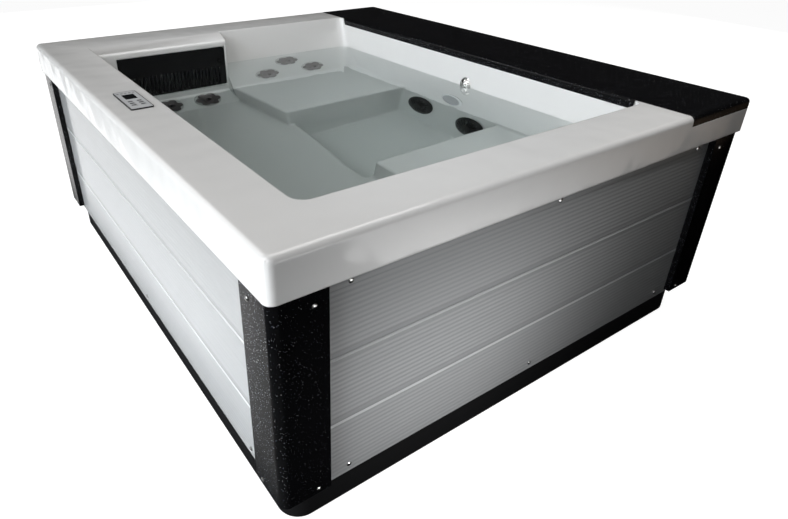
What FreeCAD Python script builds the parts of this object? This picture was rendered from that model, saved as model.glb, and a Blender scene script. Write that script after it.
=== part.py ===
import FreeCAD, Part
import math
import os

V = FreeCAD.Vector

# Overall size, millimetres, +Z up, origin under the middle of the base
tub_width = 1720.0
tub_length = 2000.0
rim_height = 800.0

# Moulded shell: rim, skirt and wall
shell_wall = 8.0
skirt_depth = 105.0
rim_edge_radius = 16.0
rim_corner_radius = 22.0
left_rim = 160.0
near_rim = 160.0
far_rim = 180.0
basin_corner_radius = 40.0
seat_edge_radius = 14.0
left_wall_lean = 6.0
near_wall_lean = 10.0
back_rest_lean = 15.4

# Heights and plan of the benches, the lounge and the footwell
lounge_rise = 130.0
bench_rise = 125.0
footwell_length = 567.0
footwell_shift = 11.5
near_bench_setback = 12.0
back_bench_slant = 45.0
lounge_width = 620.0
lounge_wave = 16.0
footwell_lean = 6.0
footwell_right_lean = 11.0

# Filter housing in the far left corner
housing_depth = 82.0
housing_width = 560.0
housing_drop = 23.0
housing_slope = 57.0
foot_ramp = 92.0
mouth_side = 84.0
mouth_edge = 10.0
mouth_sill = 68.0
mouth_drop = 46.0
mouth_depth = 18.0
chamber_ledge = 16.0
chamber_depth = 142.0

# Lid over the equipment bay
lid_width = 337.0
lid_thickness = 30.0
lid_gap = 1.5
lid_edge_radius = 12.0
lid_skin = 8.0
lid_rib = 12.0
lid_rib_count = 5
ledge_width = 40.0

# Base, frame and cladding
base_inset = 42.0
base_height = 102.0
base_wall = 8.0
base_corner_radius = 60.0
frame_bar = 40.0
frame_gap = 2.0
cradle_count = 3
batten_height = 50.0
upright_spacing = 660.0
plank_inset = 28.0
plank_thickness = 12.0
plank_bottom = 96.0
plank_pitch = 196.0
first_seam = 280.0
plank_count = 3
plank_seam = 1.0
plank_bevel = 4.0
rib_pitch = 13.4
rib_depth = 1.2
skirt_gap = 1.0
post_inset = 8.0
post_width = 132.0
post_wall = 8.0
post_bottom = 112.0
post_corner_radius = 24.0

# Screws
screw_head_radius = 6.5
screw_head_height = 3.0
screw_radius = 3.0
screw_bite = 10.0
screw_hole_clearance = 0.5
post_screw_edge = 35.0
post_screw_rise = 13.0
post_screw_drop = 39.0
plank_screw_end = 205.0
plank_screw_rise = 28.0
plank_screw_drop = 28.0

# Control panel on the left rim
panel_inset = 95.0
panel_y = 22.0
panel_width = 68.0
panel_length = 187.0
panel_flange = 4.0
panel_corner_radius = 6.0
panel_body_width = 28.0
panel_body_offset = 13.0
panel_body_length = 160.0
panel_body_depth = 34.0
panel_clearance = 1.0
display_width = 36.0
display_length = 50.0
display_y = 33.0
display_thickness = 1.0
button_width = 17.0
button_length = 12.0
button_rise = 0.8
button_travel = 0.8
button_floor = 1.2
button_clearance = 0.4
button_columns = 2
button_rows = 3
button_column_pitch = 27.0
button_row_pitch = 19.0
button_y = -38.0

# Filter grille and cartridges
grille_clearance = 1.0
grille_thickness = 14.0
grille_fascia = 83.0
grille_border = 26.0
grille_corner_radius = 14.0
slot_count = 26
slot_width = 9.0
knob_radius = 9.0
knob_height = 9.0
knob_stem_radius = 4.0
knob_inset = 28.0
knob_drop = 57.0
cartridge_radius = 62.0
cartridge_pleats = 28
pleat_inset = 3.0
pleat_depth = 9.0
cartridge_cap = 12.0
cartridge_core_radius = 18.0

# Jets
jet_hole_radius = 34.0
jet_barrel_radius = 33.5
jet_flange_radius = 59.5
jet_flange_bevel = 2.0
jet_flange_thickness = 4.0
jet_barrel_length = 55.0
jet_stub_radius = 16.0
jet_stub_length = 20.0
jet_stub_wall = 4.0
jet_neck = 6.0
jet_bore_radius = 26.0
jet_clearance = 0.5
jet_nut_radius = 46.0
jet_nut_thickness = 14.0
jet_nut_bevel = 5.0
jet_face_radius = 54.0
jet_face_waist = 42.5
jet_face_thickness = 12.0
jet_lobes = 6
jet_nozzle_radius = 10.0
jet_nose_height = 7.0
jet_seat_shift = 22.5
jet_seat_spread = 122.0
jet_high_rise = 218.0
jet_low_rise = 91.0
jet_foot_offset = 346.0
jet_foot_spread = 86.0

# Suction fittings, light and overflow on the wall under the lid
suction_radius = 80.0
suction_spread = 153.0
suction_rise = 140.0
suction_dome = 24.0
suction_skin = 4.0
suction_slots = 16
suction_slot_width = 7.0
suction_flange = 4.0
suction_barrel_radius = 44.0
suction_barrel_length = 50.0
suction_stub_radius = 25.0
suction_stub_length = 40.0
suction_stub_wall = 4.0
suction_wall = 6.0
suction_neck = 8.0
suction_lip = 8.0
light_y = -16.0
light_rise = 72.0
light_radius = 62.0
light_dome = 13.0
light_flange = 3.0
light_lip = 2.0
light_barrel_radius = 38.0
light_barrel_length = 55.0
overflow_y = -82.0
overflow_drop = 126.0
overflow_radius = 30.0
overflow_dome = 17.0
overflow_stem_radius = 18.0
overflow_stem_length = 45.0
overflow_slots = 6
overflow_slot_width = 5.0
fitting_clearance = 0.5

# Equipment bay
pump_offset = 132.0
pump_inset = 600.0
pump_z = 160.0
motor_radius = 85.0
motor_length = 270.0
motor_cowl = 30.0
motor_foot_width = 130.0
motor_foot_length = 150.0
volute_radius = 105.0
volute_length = 84.0
volute_wall = 8.0
pump_port_radius = 24.0
pump_port_wall = 4.0
pump_port_length = 45.0
pump_outlet_length = 25.0
impeller_radius = 72.0
impeller_blades = 6
impeller_plate = 6.0
impeller_gap = 12.0
impeller_hub_radius = 20.0
blade_thickness = 4.0
blade_sweep = 51.5
shaft_radius = 8.0
shaft_clearance = 0.05
shaft_bore_depth = 40.0
shaft_end_gap = 2.0
pipe_radius = 24.0
pipe_bend = 42.0
heater_radius = 34.0
heater_length = 300.0
heater_z = 330.0
heater_flange = 14.0
heater_flange_rise = 8.0
saddle_width = 40.0
saddle_length = 24.0
pack_width = 110.0
pack_length = 320.0
pack_height = 260.0
pack_gap = 20.0
pack_corner_radius = 14.0
pack_inset = 520.0
manifold_inset = 132.0
branch_bend = 24.0
branch_run = 42.0
suction_pipe_offset = 93.0
pipe_socket_wall = 4.0
pipe_socket_depth = 26.0

# Places worked out from the sizes above
half_width = tub_width / 2
half_length = tub_length / 2
ledge_height = rim_height - lid_thickness
lid_edge = half_width - lid_width
skirt_bottom = rim_height - skirt_depth
post_top = skirt_bottom - skirt_gap
plank_face_x = half_width - plank_inset
plank_face_y = half_length - plank_inset
plank_back_x = plank_face_x - plank_thickness
plank_back_y = plank_face_y - plank_thickness
left_edge = -half_width + left_rim
near_edge = -half_length + near_rim
far_edge = half_length - far_rim
footwell_height = base_height + shell_wall
lounge_height = footwell_height + lounge_rise
bench_height = lounge_height + bench_rise
near_bench_front = footwell_shift - footwell_length / 2
back_bench_front = footwell_shift + footwell_length / 2
lounge_edge = left_edge + lounge_width
near_bench_end = lounge_edge + near_bench_setback
housing_front = far_edge - housing_depth
housing_right = left_edge + housing_width
back_bench_end = housing_right + back_bench_slant
housing_top = rim_height - housing_drop
mouth_left = left_edge + mouth_side
mouth_right = housing_right - mouth_edge
mouth_bottom = lounge_height + foot_ramp + mouth_sill
mouth_top = rim_height - mouth_drop
chamber_back = housing_front + mouth_depth + chamber_depth
panel_x = -half_width + panel_inset
jet_seat_x = (housing_right + lid_edge) / 2 - jet_seat_shift
jet_seat_high = bench_height + jet_high_rise
jet_seat_low = bench_height + jet_low_rise
jet_foot_x = left_edge + jet_foot_offset
suction_z = footwell_height + suction_rise
light_z = bench_height + light_rise
overflow_z = rim_height - overflow_drop
post_screw_low = post_bottom + post_screw_rise
post_screw_high = post_top - post_screw_drop
plank_screw_low = plank_bottom + plank_screw_rise
plank_screw_high = skirt_bottom - plank_screw_drop
pump_x = lid_edge + pump_offset
pump_y = half_length - pump_inset
pack_y = half_length - pack_inset
manifold_y = half_length - manifold_inset
suction_pipe_x = lid_edge + suction_pipe_offset
frame_inset = base_inset + base_wall + frame_gap
frame_x = half_width - frame_inset
frame_y = half_length - frame_inset


def slope(angle):
    """Rise per unit of run of an angle in degrees."""
    return math.tan(math.radians(angle))


def square(thickness, angle):
    """Level distance across a leaning wall whose square thickness is given."""
    return thickness / math.cos(math.radians(angle))


def box(x0, x1, y0, y1, z0, z1):
    """Block between two corners."""
    return Part.makeBox(x1 - x0, y1 - y0, z1 - z0, V(x0, y0, z0))


def rounded_rectangle(x0, x1, y0, y1, z, radius):
    """Closed outline with four rounded corners, at height z."""
    k = radius * (1 - math.sqrt(0.5))
    starts = [V(x0 + radius, y0, z), V(x1, y0 + radius, z), V(x1 - radius, y1, z), V(x0, y1 - radius, z)]
    ends = [V(x1 - radius, y0, z), V(x1, y1 - radius, z), V(x0 + radius, y1, z), V(x0, y0 + radius, z)]
    mids = [V(x1 - k, y0 + k, z), V(x1 - k, y1 - k, z), V(x0 + k, y1 - k, z), V(x0 + k, y0 + k, z)]
    edges = []
    for i in range(4):
        edges.append(Part.LineSegment(starts[i], ends[i]).toShape())
        edges.append(Part.Arc(ends[i], mids[i], starts[(i + 1) % 4]).toShape())
    return Part.Wire(edges)


def prism(wire, height):
    """Solid between a flat outline and its copy moved up."""
    return Part.Face(wire).extrude(V(0, 0, height))


def polygon(points):
    """Closed wire through points."""
    return Part.makePolygon(points + [points[0]])


def rectangle(x0, x1, y0, y1, z):
    """Four corners of a level rectangle."""
    return [V(x0, y0, z), V(x1, y0, z), V(x1, y1, z), V(x0, y1, z)]


def tapered(low, high):
    """Flat-sided solid between two level outlines with the same number of corners."""
    faces = [Part.Face(polygon(low)), Part.Face(polygon(high))]
    for i in range(len(low)):
        j = (i + 1) % len(low)
        faces.append(Part.Face(polygon([low[i], low[j], high[j], high[i]])))
    solid = Part.makeSolid(Part.makeShell(faces))
    if solid.Volume < 0:
        solid.reverse()
    return solid


def turned(profile):
    """Solid of revolution about Z of a closed profile of (radius, height) pairs."""
    wire = polygon([V(r, 0, z) for r, z in profile])
    return Part.Face(wire).revolve(V(0, 0, 0), V(0, 0, 1), 360)


def dome(radius, rise, skin, base):
    """Cap of a sphere standing on height base; skin 0 leaves it solid."""
    def arc(r, top):
        ball = (r * r + (top - base) ** 2) / (2 * (top - base))
        centre = top - ball
        half = math.asin(min(1.0, r / ball)) / 2
        middle = V(ball * math.sin(half), 0, centre + ball * math.cos(half))
        return Part.Arc(V(r, 0, base), middle, V(0, 0, top))
    edges = [arc(radius, base + rise).toShape()]
    if skin > 0:
        edges.append(Part.LineSegment(V(0, 0, base + rise), V(0, 0, base + rise - skin)).toShape())
        edges.append(arc(radius - skin * 1.5, base + rise - skin).toShape())
        edges.append(Part.LineSegment(V(radius - skin * 1.5, 0, base), V(radius, 0, base)).toShape())
    else:
        edges.append(Part.LineSegment(V(0, 0, base + rise), V(0, 0, base)).toShape())
        edges.append(Part.LineSegment(V(0, 0, base), V(radius, 0, base)).toShape())
    wire = Part.Wire(Part.__sortEdges__(edges))
    return Part.Face(wire).revolve(V(0, 0, 0), V(0, 0, 1), 360)


def placed(shape, point, normal):
    """Copy of a shape made on the XY plane, with its Z axis along normal at point."""
    copy = shape.copy()
    turn = FreeCAD.Rotation(V(0, 0, 1), normal)
    copy.Placement = FreeCAD.Placement(point, turn)
    return copy


def pipe(points, radius, bend):
    """Round tube along straight runs joined by tangent arcs."""
    edges = []
    start = points[0]
    for before, corner, after in zip(points, points[1:], points[2:]):
        way_in = (corner - before).normalize()
        way_out = (after - corner).normalize()
        half = way_in.getAngle(way_out) / 2
        reach = bend * math.tan(half)
        first = corner - way_in * reach
        last = corner + way_out * reach
        inward = (way_out - way_in).normalize()
        middle = corner + inward * (bend / math.cos(half) - bend)
        edges.append(Part.LineSegment(start, first).toShape())
        edges.append(Part.Arc(first, middle, last).toShape())
        start = last
    edges.append(Part.LineSegment(start, points[-1]).toShape())
    circle = Part.Wire([Part.makeCircle(radius, points[0], (points[1] - points[0]))])
    return Part.Wire(edges).makePipeShell([circle], True, False)


def fused(shapes):
    """One solid from shapes that meet."""
    whole = shapes[0].multiFuse(shapes[1:])
    return whole.removeSplitter()


def write(name, shape):
    """Write one node; a list is a group of separate solids."""
    body = Part.makeCompound(shape) if isinstance(shape, list) else shape
    body.exportStep("parts/" + name + ".step")


# Basin walls: where each wall stands at height z, moved out by grow
def left_wall(z, grow):
    return left_edge + (rim_height - z) * slope(left_wall_lean) - square(grow, left_wall_lean)


def near_wall(z, grow):
    return near_edge + (rim_height - z) * slope(near_wall_lean) - square(grow, near_wall_lean)


def far_wall(z, grow):
    return far_edge - (rim_height - z) * slope(back_rest_lean) + square(grow, back_rest_lean)


def near_front(z, grow):
    return near_bench_front + (bench_height - z) * slope(footwell_lean) - square(grow, footwell_lean)


def back_front(z, grow):
    return back_bench_front - (bench_height - z) * slope(footwell_lean) + square(grow, footwell_lean)


def footwell_right(z, grow):
    return lid_edge - (bench_height - z) * slope(footwell_right_lean) + square(grow, footwell_right_lean)


def lounge_side(grow, high, far):
    """Left part of the basin, from the lounge floor up, as far as the plane y = far."""
    return tapered(*[rectangle(left_wall(z, grow), housing_right + grow, near_wall(z, grow), far, z)
                     for z in (lounge_height - grow, high)])


def bench_side(grow, high):
    """Right part of the basin, from the benches up, with the reclined back rest."""
    return tapered(*[rectangle(housing_right - grow, lid_edge + grow, near_wall(z, grow),
                               far_wall(z, grow), z)
                     for z in (bench_height - grow, high)])


def near_bench_gap(grow):
    """Stretch of the lounge beside the end of the near bench."""
    return tapered(*[rectangle(housing_right - grow, near_bench_end + grow, near_wall(z, grow),
                               near_front(z, 0) + grow, z) for z in (lounge_height - grow, bench_height)])


def back_bench_gap(grow):
    """Stretch of the lounge beside the slanting end of the back bench."""
    far = far_wall(bench_height, 0)
    slant = (back_bench_end - housing_right) / (far - back_bench_front)

    def outline(z):
        y = back_front(z, 0) - grow
        x = back_bench_end + (back_bench_front - y) * slant
        corners = [V(housing_right - grow, y, z), V(x + grow, y, z), V(housing_right + grow, far, z)]
        if grow > 0:
            corners.append(V(housing_right - grow, far, z))
        return corners

    return tapered(outline(lounge_height - grow), outline(bench_height))


def well(grow, low, high, left):
    """Middle of the basin between the two bench fronts."""
    return tapered(*[rectangle(left, min(footwell_right(z, grow), lid_edge + grow), near_front(z, grow),
                               back_front(z, grow), z) for z in (low, high)])


def lounge_step(grow):
    """Block under the lounge whose side towards the footwell is one smooth wave."""
    near = near_bench_front - 2 * shell_wall
    far = back_bench_front + 2 * shell_wall
    floor = footwell_height - 2 * shell_wall
    back = -half_width
    swing = [1.0, 0.8, 0.0, -1.0, -0.8]
    points = []
    for i, share in enumerate(swing):
        y = far + (near - far) * i / (len(swing) - 1)
        points.append(V(lounge_edge + lounge_wave * share - grow, y, floor))
    wave = Part.BSplineCurve()
    wave.interpolate(points)
    rest = Part.makePolygon([points[-1], V(back, near, floor), V(back, far, floor), points[0]])
    return prism(Part.Wire([wave.toShape()] + rest.Edges), lounge_height - grow - floor)


def side_prism(points, x0, x1):
    """Solid along X from an outline of (y, z) pairs."""
    wire = polygon([V(x0, y, z) for y, z in points])
    return Part.Face(wire).extrude(V(x1 - x0, 0, 0))


def housing_roof(grow, high):
    """Space above the sloping top of the filter housing."""
    fall = (rim_height - housing_top) / housing_slope
    front = housing_front + grow
    edge = housing_top + grow * fall - grow * math.sqrt(1 + fall * fall)
    roof = side_prism([(front - shell_wall, edge - shell_wall * fall), (front + (high - edge) / fall, high),
                       (front - shell_wall, high)], -half_width, housing_right + grow)
    return roof.common(lounge_side(grow, high, half_length))


def ramp_wedge(grow):
    """Sloping foot of the lounge that carries the two foot jets."""
    front = housing_front + grow
    floor = lounge_height - grow
    offset = housing_front - lounge_height - foot_ramp + grow * math.sqrt(2)
    return side_prism([(front, floor), (front, front - offset), (floor + offset, floor)],
                      -half_width, back_bench_end)


def mouth_pocket(grow):
    """Shallow pocket that takes the grille."""
    return box(mouth_left - grow, mouth_right + grow, housing_front - (0 if grow else shell_wall),
               housing_front + mouth_depth + grow, mouth_bottom - grow, mouth_top + grow)


def filter_chamber(grow, front):
    """Space for the cartridges behind the pocket, a ledge smaller all round."""
    inset = chamber_ledge - grow
    return box(mouth_left + inset, mouth_right - inset, front, chamber_back + grow,
               mouth_bottom + inset, mouth_top - inset)


def basin(grow, high):
    """Whole basin with sharp edges, grown by the wall for its outside."""
    space = lounge_side(grow, high, housing_front + grow)
    space = space.multiFuse([
        bench_side(grow, high), near_bench_gap(grow), back_bench_gap(grow),
        well(grow, lounge_height - grow, bench_height, housing_right - grow),
        well(grow, footwell_height - grow, lounge_height, housing_right).cut(lounge_step(grow)),
        housing_roof(grow, high)])
    return space.cut(ramp_wedge(grow)).removeSplitter()


def bend_at(shape, edge):
    """Angle between the two faces that meet along an edge, in degrees."""
    middle = edge.valueAt((edge.FirstParameter + edge.LastParameter) / 2)
    normals = []
    for face in shape.ancestorsOfType(edge, Part.Face)[:2]:
        normals.append(face.normalAt(*face.Surface.parameter(middle)))
    return math.degrees(normals[0].getAngle(normals[1]))


def soft_edge(shape, edge):
    """True for the edges of the benches, floors and fronts that a moulding has round."""
    low = min(v.Z for v in edge.Vertexes)
    high = max(v.Z for v in edge.Vertexes)
    left = min(v.X for v in edge.Vertexes)
    near = min(v.Y for v in edge.Vertexes)
    at_rim = high > rim_height and low > housing_top - 1
    at_lid_wall = left > lid_edge - 1 and high - low < 1
    at_housing_end = all(abs(v.X - housing_right) < shell_wall for v in edge.Vertexes)
    at_ramp_end = left > housing_right - 1 and near > housing_front - foot_ramp - 1 and high < bench_height - 1
    if at_rim or at_lid_wall or at_housing_end or at_ramp_end or edge.Length < seat_edge_radius:
        return False
    return bend_at(shape, edge) > footwell_right_lean + 1


def tall_corner(edge):
    """True for the upright corners that run from a bench or the lounge to the rim."""
    return min(v.Z for v in edge.Vertexes) < bench_height + 1 and max(v.Z for v in edge.Vertexes) > rim_height


def rounded_basin(high):
    """Inside of the basin with large upright corners and softly rounded edges."""
    space = basin(0.0, high)
    space = space.makeFillet(basin_corner_radius, [e for e in space.Edges if tall_corner(e)])
    return space.makeFillet(seat_edge_radius, [e for e in space.Edges if soft_edge(space, e)])


def rim():
    """Square rim and skirt, hollow from below."""
    outline = rounded_rectangle(-half_width, half_width, -half_length, half_length, skirt_bottom,
                                rim_corner_radius)
    block = prism(outline, skirt_depth)
    top = [e for e in block.Edges if min(v.Z for v in e.Vertexes) > rim_height - 0.1]
    block = block.makeFillet(rim_edge_radius, top)
    inner_x = half_width - shell_wall
    inner_y = half_length - shell_wall
    under = box(-inner_x, lid_edge - lid_gap - shell_wall, -inner_y, inner_y,
                skirt_bottom - shell_wall, rim_height - shell_wall)
    under_lid = box(-inner_x, inner_x, -inner_y, inner_y, skirt_bottom - shell_wall,
                    ledge_height - shell_wall)
    return block.cut(under).cut(under_lid)


# Fittings on the basin walls: a point on the wall and the way that it faces
def back_rest_place(x, z):
    lean = math.radians(back_rest_lean)
    return V(x, far_wall(z, 0), z), V(0, -math.cos(lean), math.sin(lean))


def ramp_place(x):
    half = foot_ramp / 2
    return V(x, housing_front - half, lounge_height + half), V(0, -math.sqrt(0.5), math.sqrt(0.5))


def footwell_place(y):
    lean = math.radians(footwell_right_lean)
    return V(footwell_right(suction_z, 0), y, suction_z), V(-math.cos(lean), 0, math.sin(lean))


def lid_wall_place(y, z):
    return V(lid_edge, y, z), V(-1, 0, 0)


jet_places = [
    back_rest_place(jet_seat_x, jet_seat_high),
    back_rest_place(jet_seat_x + jet_seat_spread, jet_seat_low),
    back_rest_place(jet_seat_x - jet_seat_spread, jet_seat_low),
    ramp_place(jet_foot_x + jet_foot_spread),
    ramp_place(jet_foot_x - jet_foot_spread),
]
suction_places = [footwell_place(suction_spread), footwell_place(-suction_spread)]
light_place = lid_wall_place(light_y, light_z)
overflow_place = lid_wall_place(overflow_y, overflow_z)


def panel_body(clearance, depth):
    """Block under the control panel's flange; with clearance, the hole in the rim for it."""
    x = panel_x + panel_body_offset
    half_x = panel_body_width / 2 + clearance
    half_y = panel_body_length / 2 + clearance
    return box(x - half_x, x + half_x, panel_y - half_y, panel_y + half_y, rim_height - depth,
               rim_height + clearance)


def wall_hole(place, radius):
    """Round hole through the wall at a fitting."""
    point, normal = place
    return Part.makeCylinder(radius, 3 * shell_wall, point + normal * shell_wall, normal * -1)


def lid_recess():
    """Step in the rim that the lid lies in."""
    return box(lid_edge - lid_gap, half_width + lid_gap, -half_length - lid_gap, half_length + lid_gap,
               ledge_height, rim_height + lid_gap)


def tub_shell():
    """Rim and basin as one moulding, with the holes for its fittings."""
    outside = basin(shell_wall, rim_height - shell_wall / 2).fuse(mouth_pocket(shell_wall))
    shell = rim().fuse(outside)
    shell = shell.cut(rounded_basin(rim_height + shell_wall))
    shell = shell.cut(mouth_pocket(0.0)).cut(filter_chamber(0.0, housing_front)).cut(lid_recess())
    access = box(lid_edge + ledge_width, half_width - ledge_width, -half_length + ledge_width * 2,
                 half_length - ledge_width * 2, ledge_height - 2 * shell_wall, ledge_height + shell_wall)
    shell = shell.cut(access)
    shell = shell.cut(panel_body(panel_clearance, 2 * shell_wall))
    for place in jet_places:
        shell = shell.cut(wall_hole(place, jet_hole_radius))
    for place in suction_places:
        shell = shell.cut(wall_hole(place, suction_barrel_radius + fitting_clearance))
    shell = shell.cut(wall_hole(light_place, light_barrel_radius + fitting_clearance))
    shell = shell.cut(wall_hole(overflow_place, overflow_stem_radius + fitting_clearance))
    return shell.removeSplitter()


def equipment_lid():
    """Flat lid with rounded top edges and outer corners, ribbed underneath."""
    plate = box(lid_edge, half_width, -half_length, half_length, ledge_height, rim_height)
    corners = [e for e in plate.Edges if e.BoundBox.ZLength > lid_thickness / 2]
    upright = [e for e in corners if e.BoundBox.XMin > lid_edge + lid_gap]
    plate = plate.makeFillet(rim_corner_radius, upright)
    top = [e for e in plate.Edges if min(v.Z for v in e.Vertexes) > rim_height - 0.1]
    plate = plate.makeFillet(lid_edge_radius, top)
    margin = ledge_width + lid_rib
    bay = (tub_length - 2 * ledge_width * 2 - (lid_rib_count - 1) * lid_rib) / lid_rib_count
    y = -half_length + 2 * ledge_width
    for _ in range(lid_rib_count):
        plate = plate.cut(box(lid_edge + margin, half_width - margin, y, y + bay,
                              ledge_height - lid_skin, rim_height - lid_skin))
        y += bay + lid_rib
    return plate


# Base and frame
def base_pan():
    """Black pan with rounded corners that the whole tub stands on."""
    x = half_width - base_inset
    y = half_length - base_inset
    pan = prism(rounded_rectangle(-x, x, -y, y, 0.0, base_corner_radius), base_height)
    inner = rounded_rectangle(-x + base_wall, x - base_wall, -y + base_wall, y - base_wall, base_wall,
                              base_corner_radius - base_wall)
    return pan.cut(prism(inner, base_height))


def corner_setback():
    """How far a square upright stands in from the frame's corner to clear the pan's round corner."""
    return base_corner_radius - base_wall


def upright_top(x):
    """Uprights under the lid stop at its ledge, the others at the rim."""
    return (ledge_height if x > lid_edge else rim_height) - shell_wall


def frame_uprights():
    """Square posts at the corners and in the middle of each side."""
    bars = []
    reach = corner_setback()
    for sx in (-1, 1):
        for sy in (-1, 1):
            x = sx * (frame_x - frame_bar / 2)
            y = sy * (frame_y - reach - frame_bar / 2)
            bars.append(box(x - frame_bar / 2, x + frame_bar / 2, y - frame_bar / 2, y + frame_bar / 2,
                            base_wall, upright_top(x)))
    for sx in (-1, 1):
        for sy in (-1, 1):
            x = sx * (frame_x - frame_bar / 2)
            y = sy * upright_spacing / 2
            bars.append(box(x - frame_bar / 2, x + frame_bar / 2, y - frame_bar / 2, y + frame_bar / 2,
                            base_wall + frame_bar, upright_top(x) - frame_bar))
    for sy in (-1, 1):
        y = sy * (frame_y - frame_bar / 2)
        bars.append(box(-frame_bar / 2, frame_bar / 2, y - frame_bar / 2, y + frame_bar / 2,
                        base_wall + frame_bar, rim_height - shell_wall - frame_bar))
    return bars


def frame_rails():
    """Rails between the uprights, low and high, and the cradle under the footwell."""
    bars = []
    reach = corner_setback()
    inner_y = frame_y - reach - frame_bar
    for sx in (-1, 1):
        x = sx * (frame_x - frame_bar / 2)
        for z in (base_wall, upright_top(x) - frame_bar):
            bars.append(box(x - frame_bar / 2, x + frame_bar / 2, -inner_y, inner_y, z, z + frame_bar))
    for sy in (-1, 1):
        y = sy * (frame_y - frame_bar / 2)
        bars.append(box(-frame_x + reach, frame_x - reach, y - frame_bar / 2, y + frame_bar / 2,
                        base_wall, base_wall + frame_bar))
        top = rim_height - shell_wall
        bars.append(box(-frame_x + reach, lid_edge - frame_bar, y - frame_bar / 2, y + frame_bar / 2,
                        top - frame_bar, top))
    low = footwell_height - shell_wall
    step = (back_bench_front - near_bench_front) / (cradle_count + 1)
    for i in range(cradle_count):
        y = near_bench_front + step * (i + 1)
        bars.append(box(lounge_edge + frame_bar, lid_edge - 3 * frame_bar, y - frame_bar / 2,
                        y + frame_bar / 2, base_wall, low))
    return bars


def frame_battens():
    """Flat battens behind the planks, which carry the screws."""
    bars = []
    levels = [base_height + batten_height / 2, post_screw_high]
    for i in range(1, plank_count):
        levels.append(first_seam + (i - 1) * plank_pitch)
    for level in levels:
        z0 = level - batten_height / 2
        z1 = level + batten_height / 2
        for s in (-1, 1):
            y = sorted((s * frame_y, s * plank_back_y))
            bars.append(box(-frame_x, frame_x, y[0], y[1], z0, z1))
            x = sorted((s * frame_x, s * plank_back_x))
            bars.append(box(x[0], x[1], -frame_y, frame_y, z0, z1))
    return bars


def screw(point, outward, length):
    """Pan-head screw driven in from point on the outer face."""
    profile = [(0, screw_head_height), (screw_head_radius * 0.55, screw_head_height),
               (screw_head_radius, screw_head_height * 0.4), (screw_head_radius, 0), (screw_radius, 0),
               (screw_radius, -length), (0, -length)]
    return placed(turned(profile), point, outward)


def post_screw_places():
    """Two screws on each face of each post."""
    places = []
    along = post_inset + post_width - post_screw_edge
    for sx in (-1, 1):
        for sy in (-1, 1):
            for z in (post_screw_low, post_screw_high):
                places.append((V(sx * (half_width - along), sy * (half_length - post_inset), z), V(0, sy, 0)))
                places.append((V(sx * (half_width - post_inset), sy * (half_length - along), z), V(sx, 0, 0)))
    return places


def plank_screw_places():
    """Three screws in the top plank and three in the bottom plank of each side."""
    places = []
    for s in (-1, 1):
        for z in (plank_screw_low, plank_screw_high):
            for t in (-1, 0, 1):
                places.append((V(t * (half_width - plank_screw_end), s * plank_face_y, z), V(0, s, 0)))
                places.append((V(s * plank_face_x, t * (half_length - plank_screw_end), z), V(s, 0, 0)))
    return places


post_screws = post_screw_places()
plank_screws = plank_screw_places()


def drill(shape, places):
    """Clearance holes for every screw that passes the shape."""
    radius = screw_radius + screw_hole_clearance
    deep = plank_inset + plank_thickness
    for point, outward in places:
        hole = Part.makeCylinder(radius, 2 * deep, point + outward * deep, outward * -1)
        if hole.BoundBox.intersect(shape.BoundBox):
            shape = shape.cut(hole)
    return shape


def plank_profile(bottom, top):
    """Section of a plank as (depth, height): bevelled edges and shallow ribs on its face."""
    low = bottom + plank_bevel
    high = top - plank_bevel
    count = int((high - low) / rib_pitch)
    margin = (high - low - count * rib_pitch) / 2
    points = [(plank_thickness, bottom), (plank_bevel, bottom), (0.0, low)]
    for i in range(count):
        z = low + margin + i * rib_pitch
        points.append((0.0, z + rib_pitch * 0.15))
        points.append((rib_depth, z + rib_pitch * 0.35))
        points.append((rib_depth, z + rib_pitch * 0.65))
        points.append((0.0, z + rib_pitch * 0.85))
    points += [(0.0, high), (plank_bevel, top), (plank_thickness, top)]
    return points


def plank(side, index):
    """One plank of one side; the two long sides stop behind the two short ones."""
    bottom = first_seam + (index - 1) * plank_pitch if index else plank_bottom
    top = first_seam + index * plank_pitch - plank_seam
    if index == plank_count - 1:
        top = post_top
    section = plank_profile(bottom, top)
    if side in ("front", "back"):
        s = -1 if side == "front" else 1
        wire = polygon([V(-plank_face_x, s * (plank_face_y - d), z) for d, z in section])
        body = Part.Face(wire).extrude(V(2 * plank_face_x, 0, 0))
    else:
        s = -1 if side == "left" else 1
        end = plank_back_y - plank_seam
        wire = polygon([V(s * (plank_face_x - d), -end, z) for d, z in section])
        body = Part.Face(wire).extrude(V(0, 2 * end, 0))
    return drill(drill(body, plank_screws), post_screws)


def corner_post(sx, sy):
    """L-shaped post with a rounded edge and a return along each free side."""
    r = post_corner_radius
    w = post_width
    t = post_wall
    back = plank_inset - post_inset
    k = r * (1 - math.sqrt(0.5))
    outline = [V(w, back, 0), V(w, 0, 0), V(r, 0, 0), V(0, r, 0), V(0, w, 0), V(back, w, 0),
               V(back, w - t, 0), V(t, w - t, 0), V(t, r, 0), V(r, t, 0), V(w - t, t, 0), V(w - t, back, 0)]
    edges = []
    for i, start in enumerate(outline):
        end = outline[(i + 1) % len(outline)]
        if i == 2:
            edges.append(Part.Arc(start, V(k, k, 0), end).toShape())
        elif i == 8:
            inner = t + (r - t) * (1 - math.sqrt(0.5))
            edges.append(Part.Arc(start, V(inner, inner, 0), end).toShape())
        else:
            edges.append(Part.LineSegment(start, end).toShape())
    post = prism(Part.Wire(edges), post_top - post_bottom)
    turns = {(-1, -1): 0, (1, -1): 90, (1, 1): 180, (-1, 1): 270}
    spot = V(sx * (half_width - post_inset), sy * (half_length - post_inset), post_bottom)
    post.Placement = FreeCAD.Placement(spot, FreeCAD.Rotation(V(0, 0, 1), turns[(sx, sy)]))
    return drill(post, post_screws)


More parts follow.
